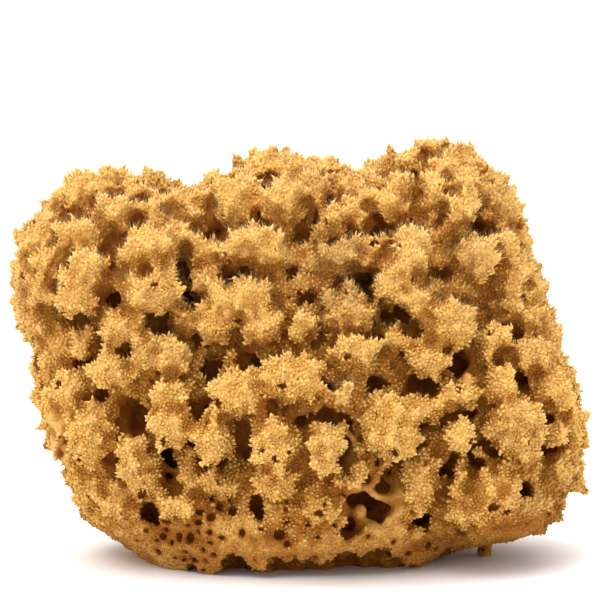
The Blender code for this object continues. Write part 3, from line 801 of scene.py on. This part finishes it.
def normals_of(mesh):
    flat = np.empty(len(mesh.vertices) * 3, dtype=np.float32)
    mesh.vertex_normals.foreach_get("vector", flat)
    return flat.reshape(-1, 3).astype(np.float64)


def set_points(mesh, points):
    mesh.vertices.foreach_set("co", points.astype(np.float32).ravel())
    mesh.update()


def store(mesh, name, values):
    """Keeps one number for each point, for the materials to read."""
    kept = mesh.attributes.new(name, "FLOAT", "POINT")
    kept.data.foreach_set("value", np.asarray(values, dtype=np.float32))


def stored(mesh, name):
    values = np.empty(len(mesh.vertices), dtype=np.float32)
    mesh.attributes[name].data.foreach_get("value", values)
    return values.astype(np.float64)


def smoothstep(low, high, values):
    share = np.clip((values - low) / (high - low), 0, 1)
    return share * share * (3 - 2 * share)


def measure_crests(body, rounds):
    """How far each point stands out of its surroundings, in mm: above 0 on a crest."""
    mesh = body.data
    ends = np.empty(len(mesh.edges) * 2, dtype=np.int32)
    mesh.edges.foreach_get("vertices", ends)
    first, second = ends.reshape(-1, 2).T
    count = len(mesh.vertices)
    joined = np.bincount(first, minlength=count) + np.bincount(second, minlength=count)
    points = points_of(mesh)
    smooth = points.copy()
    for _ in range(rounds):
        total = np.empty_like(smooth)
        for axis in range(3):
            total[:, axis] = np.bincount(first, smooth[second, axis], minlength=count)
            total[:, axis] += np.bincount(second, smooth[first, axis], minlength=count)
        smooth = (smooth + total) / (1 + joined[:, None])
    return ((points - smooth) * normals_of(mesh)).sum(1) / MM


def measure_skin(body, skin, canal_skin, pore_skin):
    """How far each point stands out of the core, which way is out there, and if a canal holds it."""
    rise = []
    outward = []
    wall = []
    pore = []
    for vert in body.data.vertices:
        place, normal, _, _ = skin.find_nearest(vert.co)
        away = vert.co - place
        rise.append(away.dot(normal) / MM)
        outward.append(normal)
        wall_place, wall_normal, _, canal_gap = canal_skin.find_nearest(vert.co)
        if (vert.co - wall_place).dot(wall_normal) < 0:
            canal_gap = 0.0
        wall.append(canal_gap / MM)
        pore.append(pore_skin.find_nearest(vert.co)[3] / MM)
    return np.array(rise), np.array(outward), np.array(wall), np.array(pore)


def measure_openness(body):
    """The share of the rays from each point that get away, so that creases and canals are known."""
    tree = skin_of(body)
    rays = []
    for k in range(OPEN_RAYS):
        up = 1 - (k + 0.5) / OPEN_RAYS
        across = math.sqrt(1 - up * up)
        angle = k * 2.39996
        rays.append(Vector((across * math.cos(angle), across * math.sin(angle), up)))
    found = []
    for vert in body.data.vertices:
        normal = vert.normal
        start = vert.co + normal * 0.15 * MM
        turn = normal.to_track_quat("Z", "Y")
        free = 0
        for ray in rays:
            if tree.ray_cast(start, turn @ ray, OPEN_REACH)[0] is None:
                free += 1
        found.append(free / OPEN_RAYS)
    return np.array(found)


def measure_dusk(points):
    """How dull each point is: by the patches on the front, and by wide blotches elsewhere."""
    across, up = on_picture_plane(points)
    front = 1 - smoothstep(-20 * MM, 10 * MM, points[:, 1])
    dusk = np.zeros(len(points))
    for middle, height, half_width, half_height, amount in DUSKY_PATCHES:
        away = np.hypot((across - middle) / half_width, (up - height) / half_height)
        dusk = np.maximum(dusk, amount * (1 - smoothstep(0.45, 1.25, away)))
    blotch = np.array([noise.noise(Vector(point) / (15 * MM)) for point in points])
    return dusk * front + smoothstep(0.05, 0.5, blotch) * 0.8 * (1 - front)


def grow_body(rng):
    core = build_core()
    skin = skin_of(core)
    canals = plan_canals(skin, rng)
    sink_core(core)
    body = grow_object("sponge_body", grow_tufts(core, skin, canals, rng))
    bpy.data.objects.remove(core)
    fuse(body, BODY_VOXEL, smooth_rounds=1)
    swell(body, KNOB_SIZE, KNOB_HEIGHT)
    canal_cutter = bore_canals(canals)
    base_cutter = hollow_base()
    cut_away(body, canal_cutter)
    skirt_cutter = hollow_skirt(skin)
    cut_away(body, skirt_cutter)
    hollow_skin = skin_of(skirt_cutter)
    bpy.data.objects.remove(skirt_cutter)
    canal_skin = skin_of(canal_cutter)
    divide_into_heads(body, skin, canal_skin)
    cut_away(body, base_cutter)
    pore_cutter = open_pores(body, rng)
    pore_skin = skin_of(pore_cutter)
    cut_away(body, pore_cutter)
    bpy.data.objects.remove(pore_cutter)
    keep_largest_body(body)
    thin_out(body, SKIN_TRIANGLES)
    rise, outward, wall, pore = measure_skin(body, skin, canal_skin, pore_skin)
    hollow = np.array([hollow_skin.find_nearest(vert.co)[3] / MM for vert in body.data.vertices])
    openness = measure_openness(body)
    crest = measure_crests(body, CREST_ROUNDS)
    floret = measure_crests(body, FLORET_ROUNDS)
    # How far each spot faces up, for the painted top light on the tips: paler on top, painted shade
    # underneath.
    painted_top_light = normals_of(body.data)[:, 2]
    print("floret", np.percentile(floret, (2, 15, 50, 85, 98)))
    bpy.data.objects.remove(canal_cutter)
    bpy.data.objects.remove(base_cutter)

    # Fitted to the solid's box, then drawn in to leave room for the tips
    points = points_of(body.data)
    low = points.min(0)
    low[2] = BASE_CUT
    high = points.max(0)
    print("raw", low / MM, high / MM)
    box_low, box_high = (np.array(corner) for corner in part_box("sponge"))
    points = (points - low) / (high - low) * (box_high - box_low) + box_low
    set_points(body.data, points)
    room = TIP_ROOM * smoothstep(0.5, 3.0, rise) * smoothstep(0, 6 * MM, points[:, 2])
    points -= normals_of(body.data) * room[:, None]
    set_points(body.data, points)
    lines = np.array([tuft_line(vert.co, GRANULE_LINE) for vert in body.data.vertices])
    tufted = smoothstep(-5 * MM, 3 * MM, points[:, 2] - lines + rise * MM)
    store(body.data, "rise", rise)
    store(body.data, "wall", wall)
    store(body.data, "pore", pore)
    # Spots in the skirt's shallow hollows, which get painted shade.
    store(body.data, "hollow", (1 - smoothstep(0.5, 1.6, hollow)) * (points[:, 1] < 0))
    store(body.data, "tufted", tufted)
    store(body.data, "openness", openness)
    store(body.data, "crest", crest)
    store(body.data, "floret", floret)
    store(body.data, "painted_top_light", painted_top_light)
    # Painted shade on the low undersides, the darker the more they face down.
    under = smoothstep(0.0, 0.6, -outward[:, 2]) * (1 - smoothstep(12 * MM, 34 * MM, points[:, 2]))
    # The painted shade under the skirt is weaker on the left, towards the key light.
    under *= 1 - 0.75 * smoothstep(15 * MM, 32 * MM, -points[:, 0])
    store(body.data, "under", under)
    store(body.data, "soft", smoothstep(55 * MM, 85 * MM, points[:, 2]))
    store(body.data, "dusk", measure_dusk(points))
    for axis, letter in enumerate("xyz"):
        store(body.data, "out_" + letter, outward[:, axis])
    return body


def thin_out(obj, triangles):
    """Fewer, larger facets where the skin is smooth."""
    obj.data.calc_loop_triangles()
    share = triangles / len(obj.data.loop_triangles)
    if share < 1:
        decimate = obj.modifiers.new("facets", "DECIMATE")
        decimate.ratio = share
        apply_all(obj)


def cut_flat(body):
    """Cuts the base flat where the sponge rests."""
    pick(body)
    bpy.ops.object.mode_set(mode="EDIT")
    bpy.ops.mesh.select_all(action="SELECT")
    bpy.ops.mesh.bisect(plane_co=(0, 0, 0), plane_no=(0, 0, 1), use_fill=True, clear_inner=True)
    bpy.ops.mesh.select_all(action="SELECT")
    bpy.ops.mesh.quads_convert_to_tris()
    bpy.ops.object.mode_set(mode="OBJECT")


# ---- Tips and fibres --------------------------------------------------------------------------


def triangle_samples(mesh, rng, count):
    """Random places on a mesh, evenly by area, as corner points and the share of each."""
    mesh.calc_loop_triangles()
    corners = np.empty(len(mesh.loop_triangles) * 3, dtype=np.int32)
    mesh.loop_triangles.foreach_get("vertices", corners)
    corners = corners.reshape(-1, 3)
    points = points_of(mesh)
    a, b, c = (points[corners[:, i]] for i in range(3))
    area = np.linalg.norm(np.cross(b - a, c - a), axis=1) / 2
    chosen = rng.choice(len(area), size=count, p=area / area.sum())
    s = np.sqrt(rng.random(count))
    t = rng.random(count)
    return corners[chosen], np.stack([1 - s, s * (1 - t), s * t], axis=1)


def blended(values, corners, shares):
    picked = values[corners]
    if picked.ndim == 3:
        return (picked * shares[:, :, None]).sum(1)
    return (picked * shares).sum(1)


def scatter(mesh, rng, count):
    corners, shares = triangle_samples(mesh, rng, count)
    places = blended(points_of(mesh), corners, shares)
    return places, unit(blended(normals_of(mesh), corners, shares))


def sample_skin(body, rng, count):
    """Random places on the skin, with what the skin knows there."""
    mesh = body.data
    corners, shares = triangle_samples(mesh, rng, count)
    outward = np.stack([stored(mesh, "out_" + letter) for letter in "xyz"], axis=1)
    names = ("rise", "wall", "pore") + TIP_KNOWS
    found = {name: blended(stored(mesh, name), corners, shares) for name in names}
    found["place"] = blended(points_of(mesh), corners, shares)
    found["normal"] = unit(blended(normals_of(mesh), corners, shares))
    found["outward"] = unit(blended(outward, corners, shares))
    return found


def on_picture_plane(places):
    """Across and up on the picture plane, in mm."""
    _, box_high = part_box("sponge")
    front = -LOBES["foot"][1][1] * MM
    raised = (places[:, 1] - front) * math.sin(SEEN_FROM_ABOVE)
    raised = raised + places[:, 2] * math.cos(SEEN_FROM_ABOVE)
    return places[:, 0] / MM, raised / MM


def unit(vectors):
    return vectors / np.maximum(np.linalg.norm(vectors, axis=1, keepdims=True), 1e-9)


def spaced(places, gaps):
    """The places, taken in their order, that keep their gap from those already taken."""
    tree = KDTree(len(places))
    for index, place in enumerate(places):
        tree.insert(place, index)
    tree.balance()
    free = bytearray(b"\1") * len(places)
    taken = []
    for index in range(len(places)):
        if free[index]:
            taken.append(index)
            for _, other, _ in tree.find_range(places[index], gaps[index]):
                free[other] = 0
    return np.array(taken)


def across_from(directions, rng):
    """Two directions square to each one, turned at random about it."""
    helper = unit(rng.normal(size=directions.shape))
    side = unit(np.cross(directions, helper))
    return side, np.cross(directions, side)


def planted(name, shape, faces, heights, uv, place, direction, size, sweep, rough, extra, material, rng):
    """One piece of many copies of a small closed shape.

    shape has a row for each of its points: across, across, along. size is each copy's radius and
    length, and sweep bends its end sideways.
    """
    count = len(place)
    side, other = across_from(direction, rng)
    radius, length = size
    points = (
        place[:, None, :]
        + side[:, None, :] * (shape[None, :, 0] * radius[:, None])[..., None]
        + other[:, None, :] * (shape[None, :, 1] * radius[:, None])[..., None]
        + direction[:, None, :] * (shape[None, :, 2] * length[:, None])[..., None]
        + side[:, None, :] * (sweep[:, None] * np.maximum(shape[None, :, 2], 0) ** 2)[..., None]
        + rng.normal(size=(count, len(shape), 3)) * rough
    )
    per = len(shape)
    faces = np.asarray(faces)
    all_faces = (faces[None] + np.arange(count)[:, None, None] * per).reshape(-1, 3)
    mesh = bpy.data.meshes.new(name)
    mesh.vertices.add(count * per)
    mesh.loops.add(all_faces.size)
    mesh.polygons.add(len(all_faces))
    mesh.vertices.foreach_set("co", points.reshape(-1).astype(np.float32))
    mesh.loops.foreach_set("vertex_index", all_faces.ravel().astype(np.int32))
    mesh.polygons.foreach_set("loop_start", np.arange(0, all_faces.size, 3, dtype=np.int32))
    mesh.update(calc_edges=True)
    mesh.polygons.foreach_set("use_smooth", np.ones(len(all_faces), dtype=bool))
    store(mesh, "along", np.tile(heights, count))
    for key, values in extra.items():
        store(mesh, key, np.repeat(values, per))
    cells = math.ceil(math.sqrt(count))
    corner = np.stack([np.arange(count) % cells, np.arange(count) // cells], axis=1)
    layer = mesh.uv_layers.new(name="OFBake")
    spots = (corner[:, None, None, :] + 0.04 + 0.92 * uv[None]) / cells
    layer.data.foreach_set("uv", spots.reshape(-1).astype(np.float32))
    piece = bpy.data.objects.new(name, mesh)
    bpy.context.scene.collection.objects.link(piece)
    mesh.materials.append(material)
    return piece


def tip_shape():
    """A blunt tip of ten triangles: a sunk foot, a full waist and a point."""
    rows = []
    for turn, (radius, height) in enumerate(((1.35, -0.30), (0.86, 0.45))):
        for k in range(3):
            angle = math.tau * (k + turn * 0.5) / 3
            rows.append((radius * math.cos(angle), radius * math.sin(angle), height))
    rows.append((0, 0, 1))
    faces = [(2, 1, 0)]
    corners = [((0.2, 1.0), (0.2, 0.8), (0.0, 0.8))]
    for k in range(3):
        a = k
        b = (k + 1) % 3
        c = 3 + k
        d = 3 + (k + 1) % 3
        left = k / 3 + 0.015
        right = (k + 1) / 3 - 0.015
        middle = (left + right) / 2
        faces += [(a, b, c), (b, d, c), (c, d, 6)]
        corners += [
            ((left, 0.0), (right, 0.0), (left, 0.35)),
            ((right, 0.02), (right, 0.37), (left, 0.37)),
            ((left, 0.39), (right, 0.39), (middle, 0.77)),
        ]
    heights = [max(0.0, row[2]) for row in rows]
    return np.array(rows), faces, np.array(heights), np.array(corners)


def fibre_shape():
    """A fine fibre of four triangles."""
    rows = [(math.cos(math.tau * k / 3), math.sin(math.tau * k / 3), 0.0) for k in range(3)]
    rows.append((0, 0, 1))
    faces = [(2, 1, 0), (0, 1, 3), (1, 2, 3), (2, 0, 3)]
    corners = [((0.0, 0.8), (0.3, 0.8), (0.15, 1.0))]
    for k in range(3):
        left = k / 3 + 0.02
        right = (k + 1) / 3 - 0.02
        corners.append(((left, 0.0), (right, 0.0), ((left + right) / 2, 0.75)))
    heights = [0.0, 0.0, 0.0, 1.0]
    return np.array(rows), faces, np.array(heights), np.array(corners)


def bristle(body, materials):
    """Stands the tips on the tufts, and fibres among them."""
    rng = np.random.default_rng(23)
    skin = sample_skin(body, rng, 700000)
    place = skin["place"]
    rise = skin["rise"]
    upper = smoothstep(38 * MM, 72 * MM, place[:, 2])
    grown = (rise > -6.5) * smoothstep(0.24, 0.44, skin["openness"])
    clear = (skin["wall"] > 0.35) | (rise > -RIM_DEPTH / MM) | (upper > rng.random(len(upper)))
    grown *= clear * (skin["pore"] > 0.30 - 0.2 * skin["tufted"]) * (place[:, 2] > 1.2 * MM)
    across, up = on_picture_plane(place)
    for middle, height, half_width, half_height in SMOOTH_SPOTS:
        away = ((across - middle) / half_width) ** 2 + ((up - height) / half_height) ** 2
        grown *= (away > 1) | (place[:, 1] > 0)
    grown *= np.where(skin["tufted"] > 0.5, 1.0, 0.8)
    keep = rng.random(len(grown)) < grown
    skin = {key: values[keep] for key, values in skin.items()}
    upper = upper[keep]
    small, large = TIP_GAP
    gaps = small + (large - small) * rng.random(len(upper))
    taken = spaced(skin["place"], gaps)
    skin = {key: values[taken] for key, values in skin.items()}
    upper = upper[taken]
    count = len(taken)
    print("tips", count)

    place = skin["place"]
    lean = np.zeros_like(place)
    lean[:, 2] = 0.25 + 0.35 * upper
    direction = unit(0.75 * skin["normal"] + 0.6 * skin["outward"] + lean)
    direction = unit(direction + 0.22 * rng.normal(size=place.shape))
    low, high = TIP_HEIGHT
    length = low + (high - low) * rng.random(count) ** 1.4
    length *= 1 + 0.15 * upper
    length *= 0.7 + 0.5 * smoothstep(-0.35, 0.4, skin["floret"])
    low, high = TIP_RADIUS
    radius = (low + (high - low) * rng.random(count)) * (1 - 0.12 * upper)
    tufted = skin["tufted"]
    length *= GRAIN_SHARE[1] + (1 - GRAIN_SHARE[1]) * tufted
    radius *= GRAIN_SHARE[0] + (1 - GRAIN_SHARE[0]) * tufted
    sweep = rng.normal(size=count) * 0.15 * MM
    tone = rng.random(count)
    shape, faces, heights, uv = tip_shape()
    pieces = []
    order = np.argsort(place[:, 0])
    for number, share in enumerate(np.array_split(order, TIP_PIECES), start=1):
        extra = {name: skin[name][share] for name in TIP_KNOWS}
        extra["tone"] = tone[share]
        pieces.append(
            planted(
                f"tips_{number}", shape, faces, heights, uv, place[share], direction[share],
                (radius[share], length[share]), sweep[share], TIP_ROUGH, extra,
                materials["tips"], rng,
            )
        )

    # Fibres fray from the tips, two or so from each in the upper half
    fibre_count = 44000
    odds = (0.25 + 1.2 * upper) * (tufted > 0.6)
    source = rng.choice(count, size=fibre_count, p=odds / odds.sum())
    spread = 0.34 * rng.normal(size=(fibre_count, 3))
    way = unit(direction[source] + spread)
    foot = place[source] + direction[source] * (length[source] * 0.35)[:, None]
    low, high = FIBRE_LENGTH
    fibre_length = low + (high - low) * rng.random(fibre_count) ** 1.8
    fibre_length *= 0.7 + 0.3 * upper[source] + 0.45 * skin["soft"][source]
    fibre_radius = np.full(fibre_count, FIBRE_RADIUS) * (0.8 + 0.5 * rng.random(fibre_count))
    shape, faces, heights, uv = fibre_shape()
    extra = {name: skin[name][source] for name in TIP_KNOWS}
    extra["tone"] = tone[source]
    pieces.append(
        planted(
            "fibres", shape, faces, heights, uv, foot, way, (fibre_radius, fibre_length),
            np.zeros(fibre_count), 0, extra, materials["fibres"], rng,
        )
    )
    pieces.append(fray(body, materials["fibres"], shape, faces, heights, uv, rng))
    return pieces


def fray(body, material, shape, faces, heights, uv, rng):
    """Long pale fibres that fan out of a few spots of the front."""
    skin = skin_of(body)
    sight = Vector((0, math.cos(SEEN_FROM_ABOVE), -math.sin(SEEN_FROM_ABOVE)))
    raised = Vector((0, math.sin(SEEN_FROM_ABOVE), math.cos(SEEN_FROM_ABOVE)))
    front = Vector((0, -LOBES["foot"][1][1] * MM, 0))
    feet = []
    ways = []
    for across, up, number in FRAYED_SPOTS:
        for _ in range(number):
            aside, above = rng.normal(size=2) * FRAYED_SPREAD * 0.5
            spot = front + Vector((across * MM + aside, 0, 0)) + raised * (up * MM + above)
            place, normal, _, _ = skin.ray_cast(spot - sight * WIDTH, sight)
            if not place:
                continue
            fan = Vector((aside, 0, above)) / FRAYED_SPREAD * 1.3
            way = normal * 0.7 + fan + Vector((0, 0, 0.3)) + Vector(rng.normal(size=3)) * 0.35
            feet.append(place)
            ways.append(way.normalized())
    count = len(feet)
    low, high = FRAYED_LENGTH
    length = low + (high - low) * rng.random(count) ** 1.5
    radius = np.full(count, FIBRE_RADIUS) * (0.9 + 0.5 * rng.random(count))
    extra = {name: np.full(count, 0.8) for name in TIP_KNOWS}
    extra["under"] = extra["hollow"] = extra["dusk"] = np.zeros(count)
    extra["tone"] = 0.6 + 0.4 * rng.random(count)
    return planted(
        "frayed_fibres", shape, faces, heights, uv, np.array(feet), np.array(ways),
        (radius, length), rng.normal(size=count) * 0.5 * MM, 0, extra, material, rng,
    )


# ---- Materials --------------------------------------------------------------------------------


def new_material(name):
    material = bpy.data.materials.new(name)
    material.use_nodes = True
    tree = material.node_tree
    return material, tree, tree.nodes["Principled BSDF"]


def node(tree, kind, **settings):
    made = tree.nodes.new(kind)
    for key, value in settings.items():
        setattr(made, key, value)
    return made


def attribute(tree, name):
    return node(tree, "ShaderNodeAttribute", attribute_name=name).outputs["Fac"]


def ramp(tree, value, stops):
    """Colours along a value: pairs of a position and a colour."""
    made = node(tree, "ShaderNodeValToRGB")
    elements = made.color_ramp.elements
    while len(elements) < len(stops):
        elements.new(0.5)
    for element, (position, colour) in zip(elements, stops):
        element.position = position
        element.color = (*colour, 1)
    tree.links.new(value, made.inputs["Fac"])
    return made.outputs["Color"]


def spread_noise(tree, size, detail, rough=0.5):
    """Noise on the object's own coordinates, with blotches of this size."""
    where = node(tree, "ShaderNodeTexCoord").outputs["Object"]
    made = node(tree, "ShaderNodeTexNoise")
    made.inputs["Scale"].default_value = 1 / size
    made.inputs["Detail"].default_value = detail
    made.inputs["Roughness"].default_value = rough
    tree.links.new(where, made.inputs["Vector"])
    return made.outputs["Fac"]


def mapped(tree, value, low, high, to_low, to_high):
    made = node(tree, "ShaderNodeMapRange")
    made.inputs["From Min"].default_value = low
    made.inputs["From Max"].default_value = high
    made.inputs["To Min"].default_value = to_low
    made.inputs["To Max"].default_value = to_high
    tree.links.new(value, made.inputs["Value"])
    return made.outputs["Result"]


def math_of(tree, operation, a, b):
    made = node(tree, "ShaderNodeMath", operation=operation)
    for socket, value in zip(made.inputs, (a, b)):
        if isinstance(value, (int, float)):
            socket.default_value = value
        else:
            tree.links.new(value, socket)
    return made.outputs["Value"]


def mixed(tree, blend, factor, a, b):
    made = node(tree, "ShaderNodeMix", data_type="RGBA", blend_type=blend)
    if isinstance(factor, (int, float)):
        made.inputs["Factor"].default_value = factor
    else:
        tree.links.new(factor, made.inputs["Factor"])
    for name, value in (("A", a), ("B", b)):
        socket = [s for s in made.inputs if s.name == name and s.type == "RGBA"][0]
        if isinstance(value, tuple):
            socket.default_value = (*value, 1)
        else:
            tree.links.new(value, socket)
    return [s for s in made.outputs if s.type == "RGBA"][0]


def bumped(tree, shader, height, distance, strength):
    made = node(tree, "ShaderNodeBump")
    made.inputs["Distance"].default_value = distance
    made.inputs["Strength"].default_value = strength
    tree.links.new(height, made.inputs["Height"])
    tree.links.new(made.outputs["Normal"], shader.inputs["Normal"])


def skin_material():
    """The skin: tan on the heads, with painted shade that turns it amber in the creases and rust brown
    in the canals.
    """
    material, tree, shader = new_material("sponge_skin")
    # Painted shade: the deeper a spot lies, the darker it is.
    rise = mapped(tree, attribute(tree, "rise"), -12, 12, 0.15, 0.65)
    # Painted shade in closed spots, a little painted light in open ones.
    painted_closed_shade = mapped(tree, attribute(tree, "openness"), 0, 1, -0.15, 0.35)
    blotch = spread_noise(tree, 6 * MM, 3)
    place = math_of(tree, "ADD", rise, mapped(tree, blotch, 0.3, 0.7, -0.07, 0.07))
    place = math_of(tree, "ADD", place, painted_closed_shade)
    # Painted light on crests and painted shade in creases.
    place = math_of(tree, "ADD", place, mapped(tree, attribute(tree, "crest"), -0.6, 0.6, -0.14, 0.1))
    # Painted shade on the low undersides.
    place = math_of(tree, "ADD", place, mapped(tree, attribute(tree, "under"), 0, 1, 0, -0.3))
    # Painted shade in the skirt's shallow hollows.
    place = math_of(tree, "ADD", place, mapped(tree, attribute(tree, "hollow"), 0, 1, 0, -0.22))
    # Painted shade in and around the pores.
    place = math_of(tree, "ADD", place, mapped(tree, attribute(tree, "pore"), 0, 0.8, -0.35, 0))
    colour = ramp(
        tree,
        place,
        (
            (0.05, (0.30, 0.095, 0.007)),
            (0.30, (0.39, 0.140, 0.014)),
            (0.50, (0.48, 0.205, 0.030)),
            (0.70, (0.61, 0.315, 0.074)),
            (0.95, (0.73, 0.435, 0.135)),
        ),
    )
    grain = spread_noise(tree, 0.9 * MM, 4, 0.6)
    colour = mixed(tree, "MULTIPLY", 0.8, colour, ramp(tree, grain, (
        (0.30, (0.62, 0.52, 0.38)),
        (0.55, (1.0, 1.0, 1.0)),
        (0.75, (1.25, 1.22, 1.15)),
    )))
    dull = mapped(tree, attribute(tree, "dusk"), 0, 1, 0, 0.8)
    colour = mixed(tree, "MULTIPLY", dull, colour, (0.76, 0.75, 0.86))
    tree.links.new(colour, shader.inputs["Base Color"])
    shader.inputs["Roughness"].default_value = 0.85
    shader.inputs["Specular IOR Level"].default_value = 0.25
    fine = spread_noise(tree, 0.5 * MM, 5, 0.65)
    bumped(tree, shader, fine, 0.35 * MM, 0.8)
    return material


def tip_material(name, stops, roughness):
    """The tips: amber at their feet and pale at their points, no two quite alike."""
    material, tree, shader = new_material(name)
    # Softer from foot to point near the top, where the tips are a velvet
    soft = attribute(tree, "soft")
    along = math_of(tree, "MULTIPLY", attribute(tree, "along"), mapped(tree, soft, 0, 1, 1, 0.55))
    along = math_of(tree, "ADD", along, mapped(tree, soft, 0, 1, 0, 0.24))
    tone = mapped(tree, attribute(tree, "tone"), 0, 1, -0.11, 0.11)
    patch = mapped(tree, spread_noise(tree, 9 * MM, 3), 0.3, 0.7, -0.12, 0.12)
    place = math_of(tree, "ADD", math_of(tree, "ADD", along, tone), patch)
    # Painted shade on tips in closed spots, such as crevices and canals.
    painted_crevice_shade = mapped(tree, attribute(tree, "openness"), 0.20, 0.75, -0.48, 0.08)
    bare = mapped(tree, attribute(tree, "tufted"), 0.0, 0.9, -0.45, 0.0)
    place = math_of(tree, "ADD", math_of(tree, "ADD", place, painted_crevice_shade), bare)
    # Painted light and shade: paler on crests and up-facing spots, darker in creases, facing down, on
    # the low undersides and in the skirt's hollows.
    for name, low, high, to_low, to_high in (
        ("crest", -1.2, 1.2, -0.20, 0.12),
        ("floret", -0.5, 0.5, -0.28, 0.14),
        ("painted_top_light", -0.7, 0.7, -0.20, 0.08),
        ("under", 0, 1, 0, -0.35),
        ("hollow", 0, 1, 0, -0.28),
        ("dusk", 0, 1, 0, -0.16),
    ):
        shift = mapped(tree, attribute(tree, name), low, high, to_low, to_high)
        place = math_of(tree, "ADD", place, shift)
    colour = ramp(tree, place, stops)
    dull = mapped(tree, attribute(tree, "dusk"), 0, 1, 0, 0.8)
    colour = mixed(tree, "MULTIPLY", dull, colour, (0.76, 0.75, 0.86))
    tree.links.new(colour, shader.inputs["Base Color"])
    shader.inputs["Roughness"].default_value = roughness
    shader.inputs["Specular IOR Level"].default_value = 0.3
    shader.inputs["Subsurface Weight"].default_value = 0.25
    shader.inputs["Subsurface Radius"].default_value = (1.0, 0.55, 0.25)
    shader.inputs["Subsurface Scale"].default_value = 0.9 * MM
    return material


def make_materials():
    tips = tip_material(
        "sponge_tips",
        (
            (0.0, (0.43, 0.172, 0.017)),
            (0.25, (0.62, 0.315, 0.050)),
            (0.60, (0.76, 0.445, 0.102)),
            (1.0, (0.81, 0.515, 0.165)),
        ),
        0.8,
    )
    fibres = tip_material(
        "sponge_fibres",
        (
            (0.0, (0.62, 0.325, 0.070)),
            (0.5, (0.80, 0.490, 0.145)),
            (1.0, (0.90, 0.630, 0.250)),
        ),
        0.7,
    )
    return {"skin": skin_material(), "tips": tips, "fibres": fibres}


def main():
    deselect_all()
    place_camera()
    light_the_studio()
    lay_floor()
    materials = make_materials()

    body = grow_body(random.Random(11))
    cut_flat(body)
    body.data.materials.clear()
    body.data.materials.append(materials["skin"])
    body.data.polygons.foreach_set("use_smooth", np.ones(len(body.data.polygons), dtype=bool))
    pieces = bristle(body, materials)
    for piece in [body] + pieces:
        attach(piece, "root")
    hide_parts("sponge")
    print("body triangles", len(body.data.loop_triangles))


main()
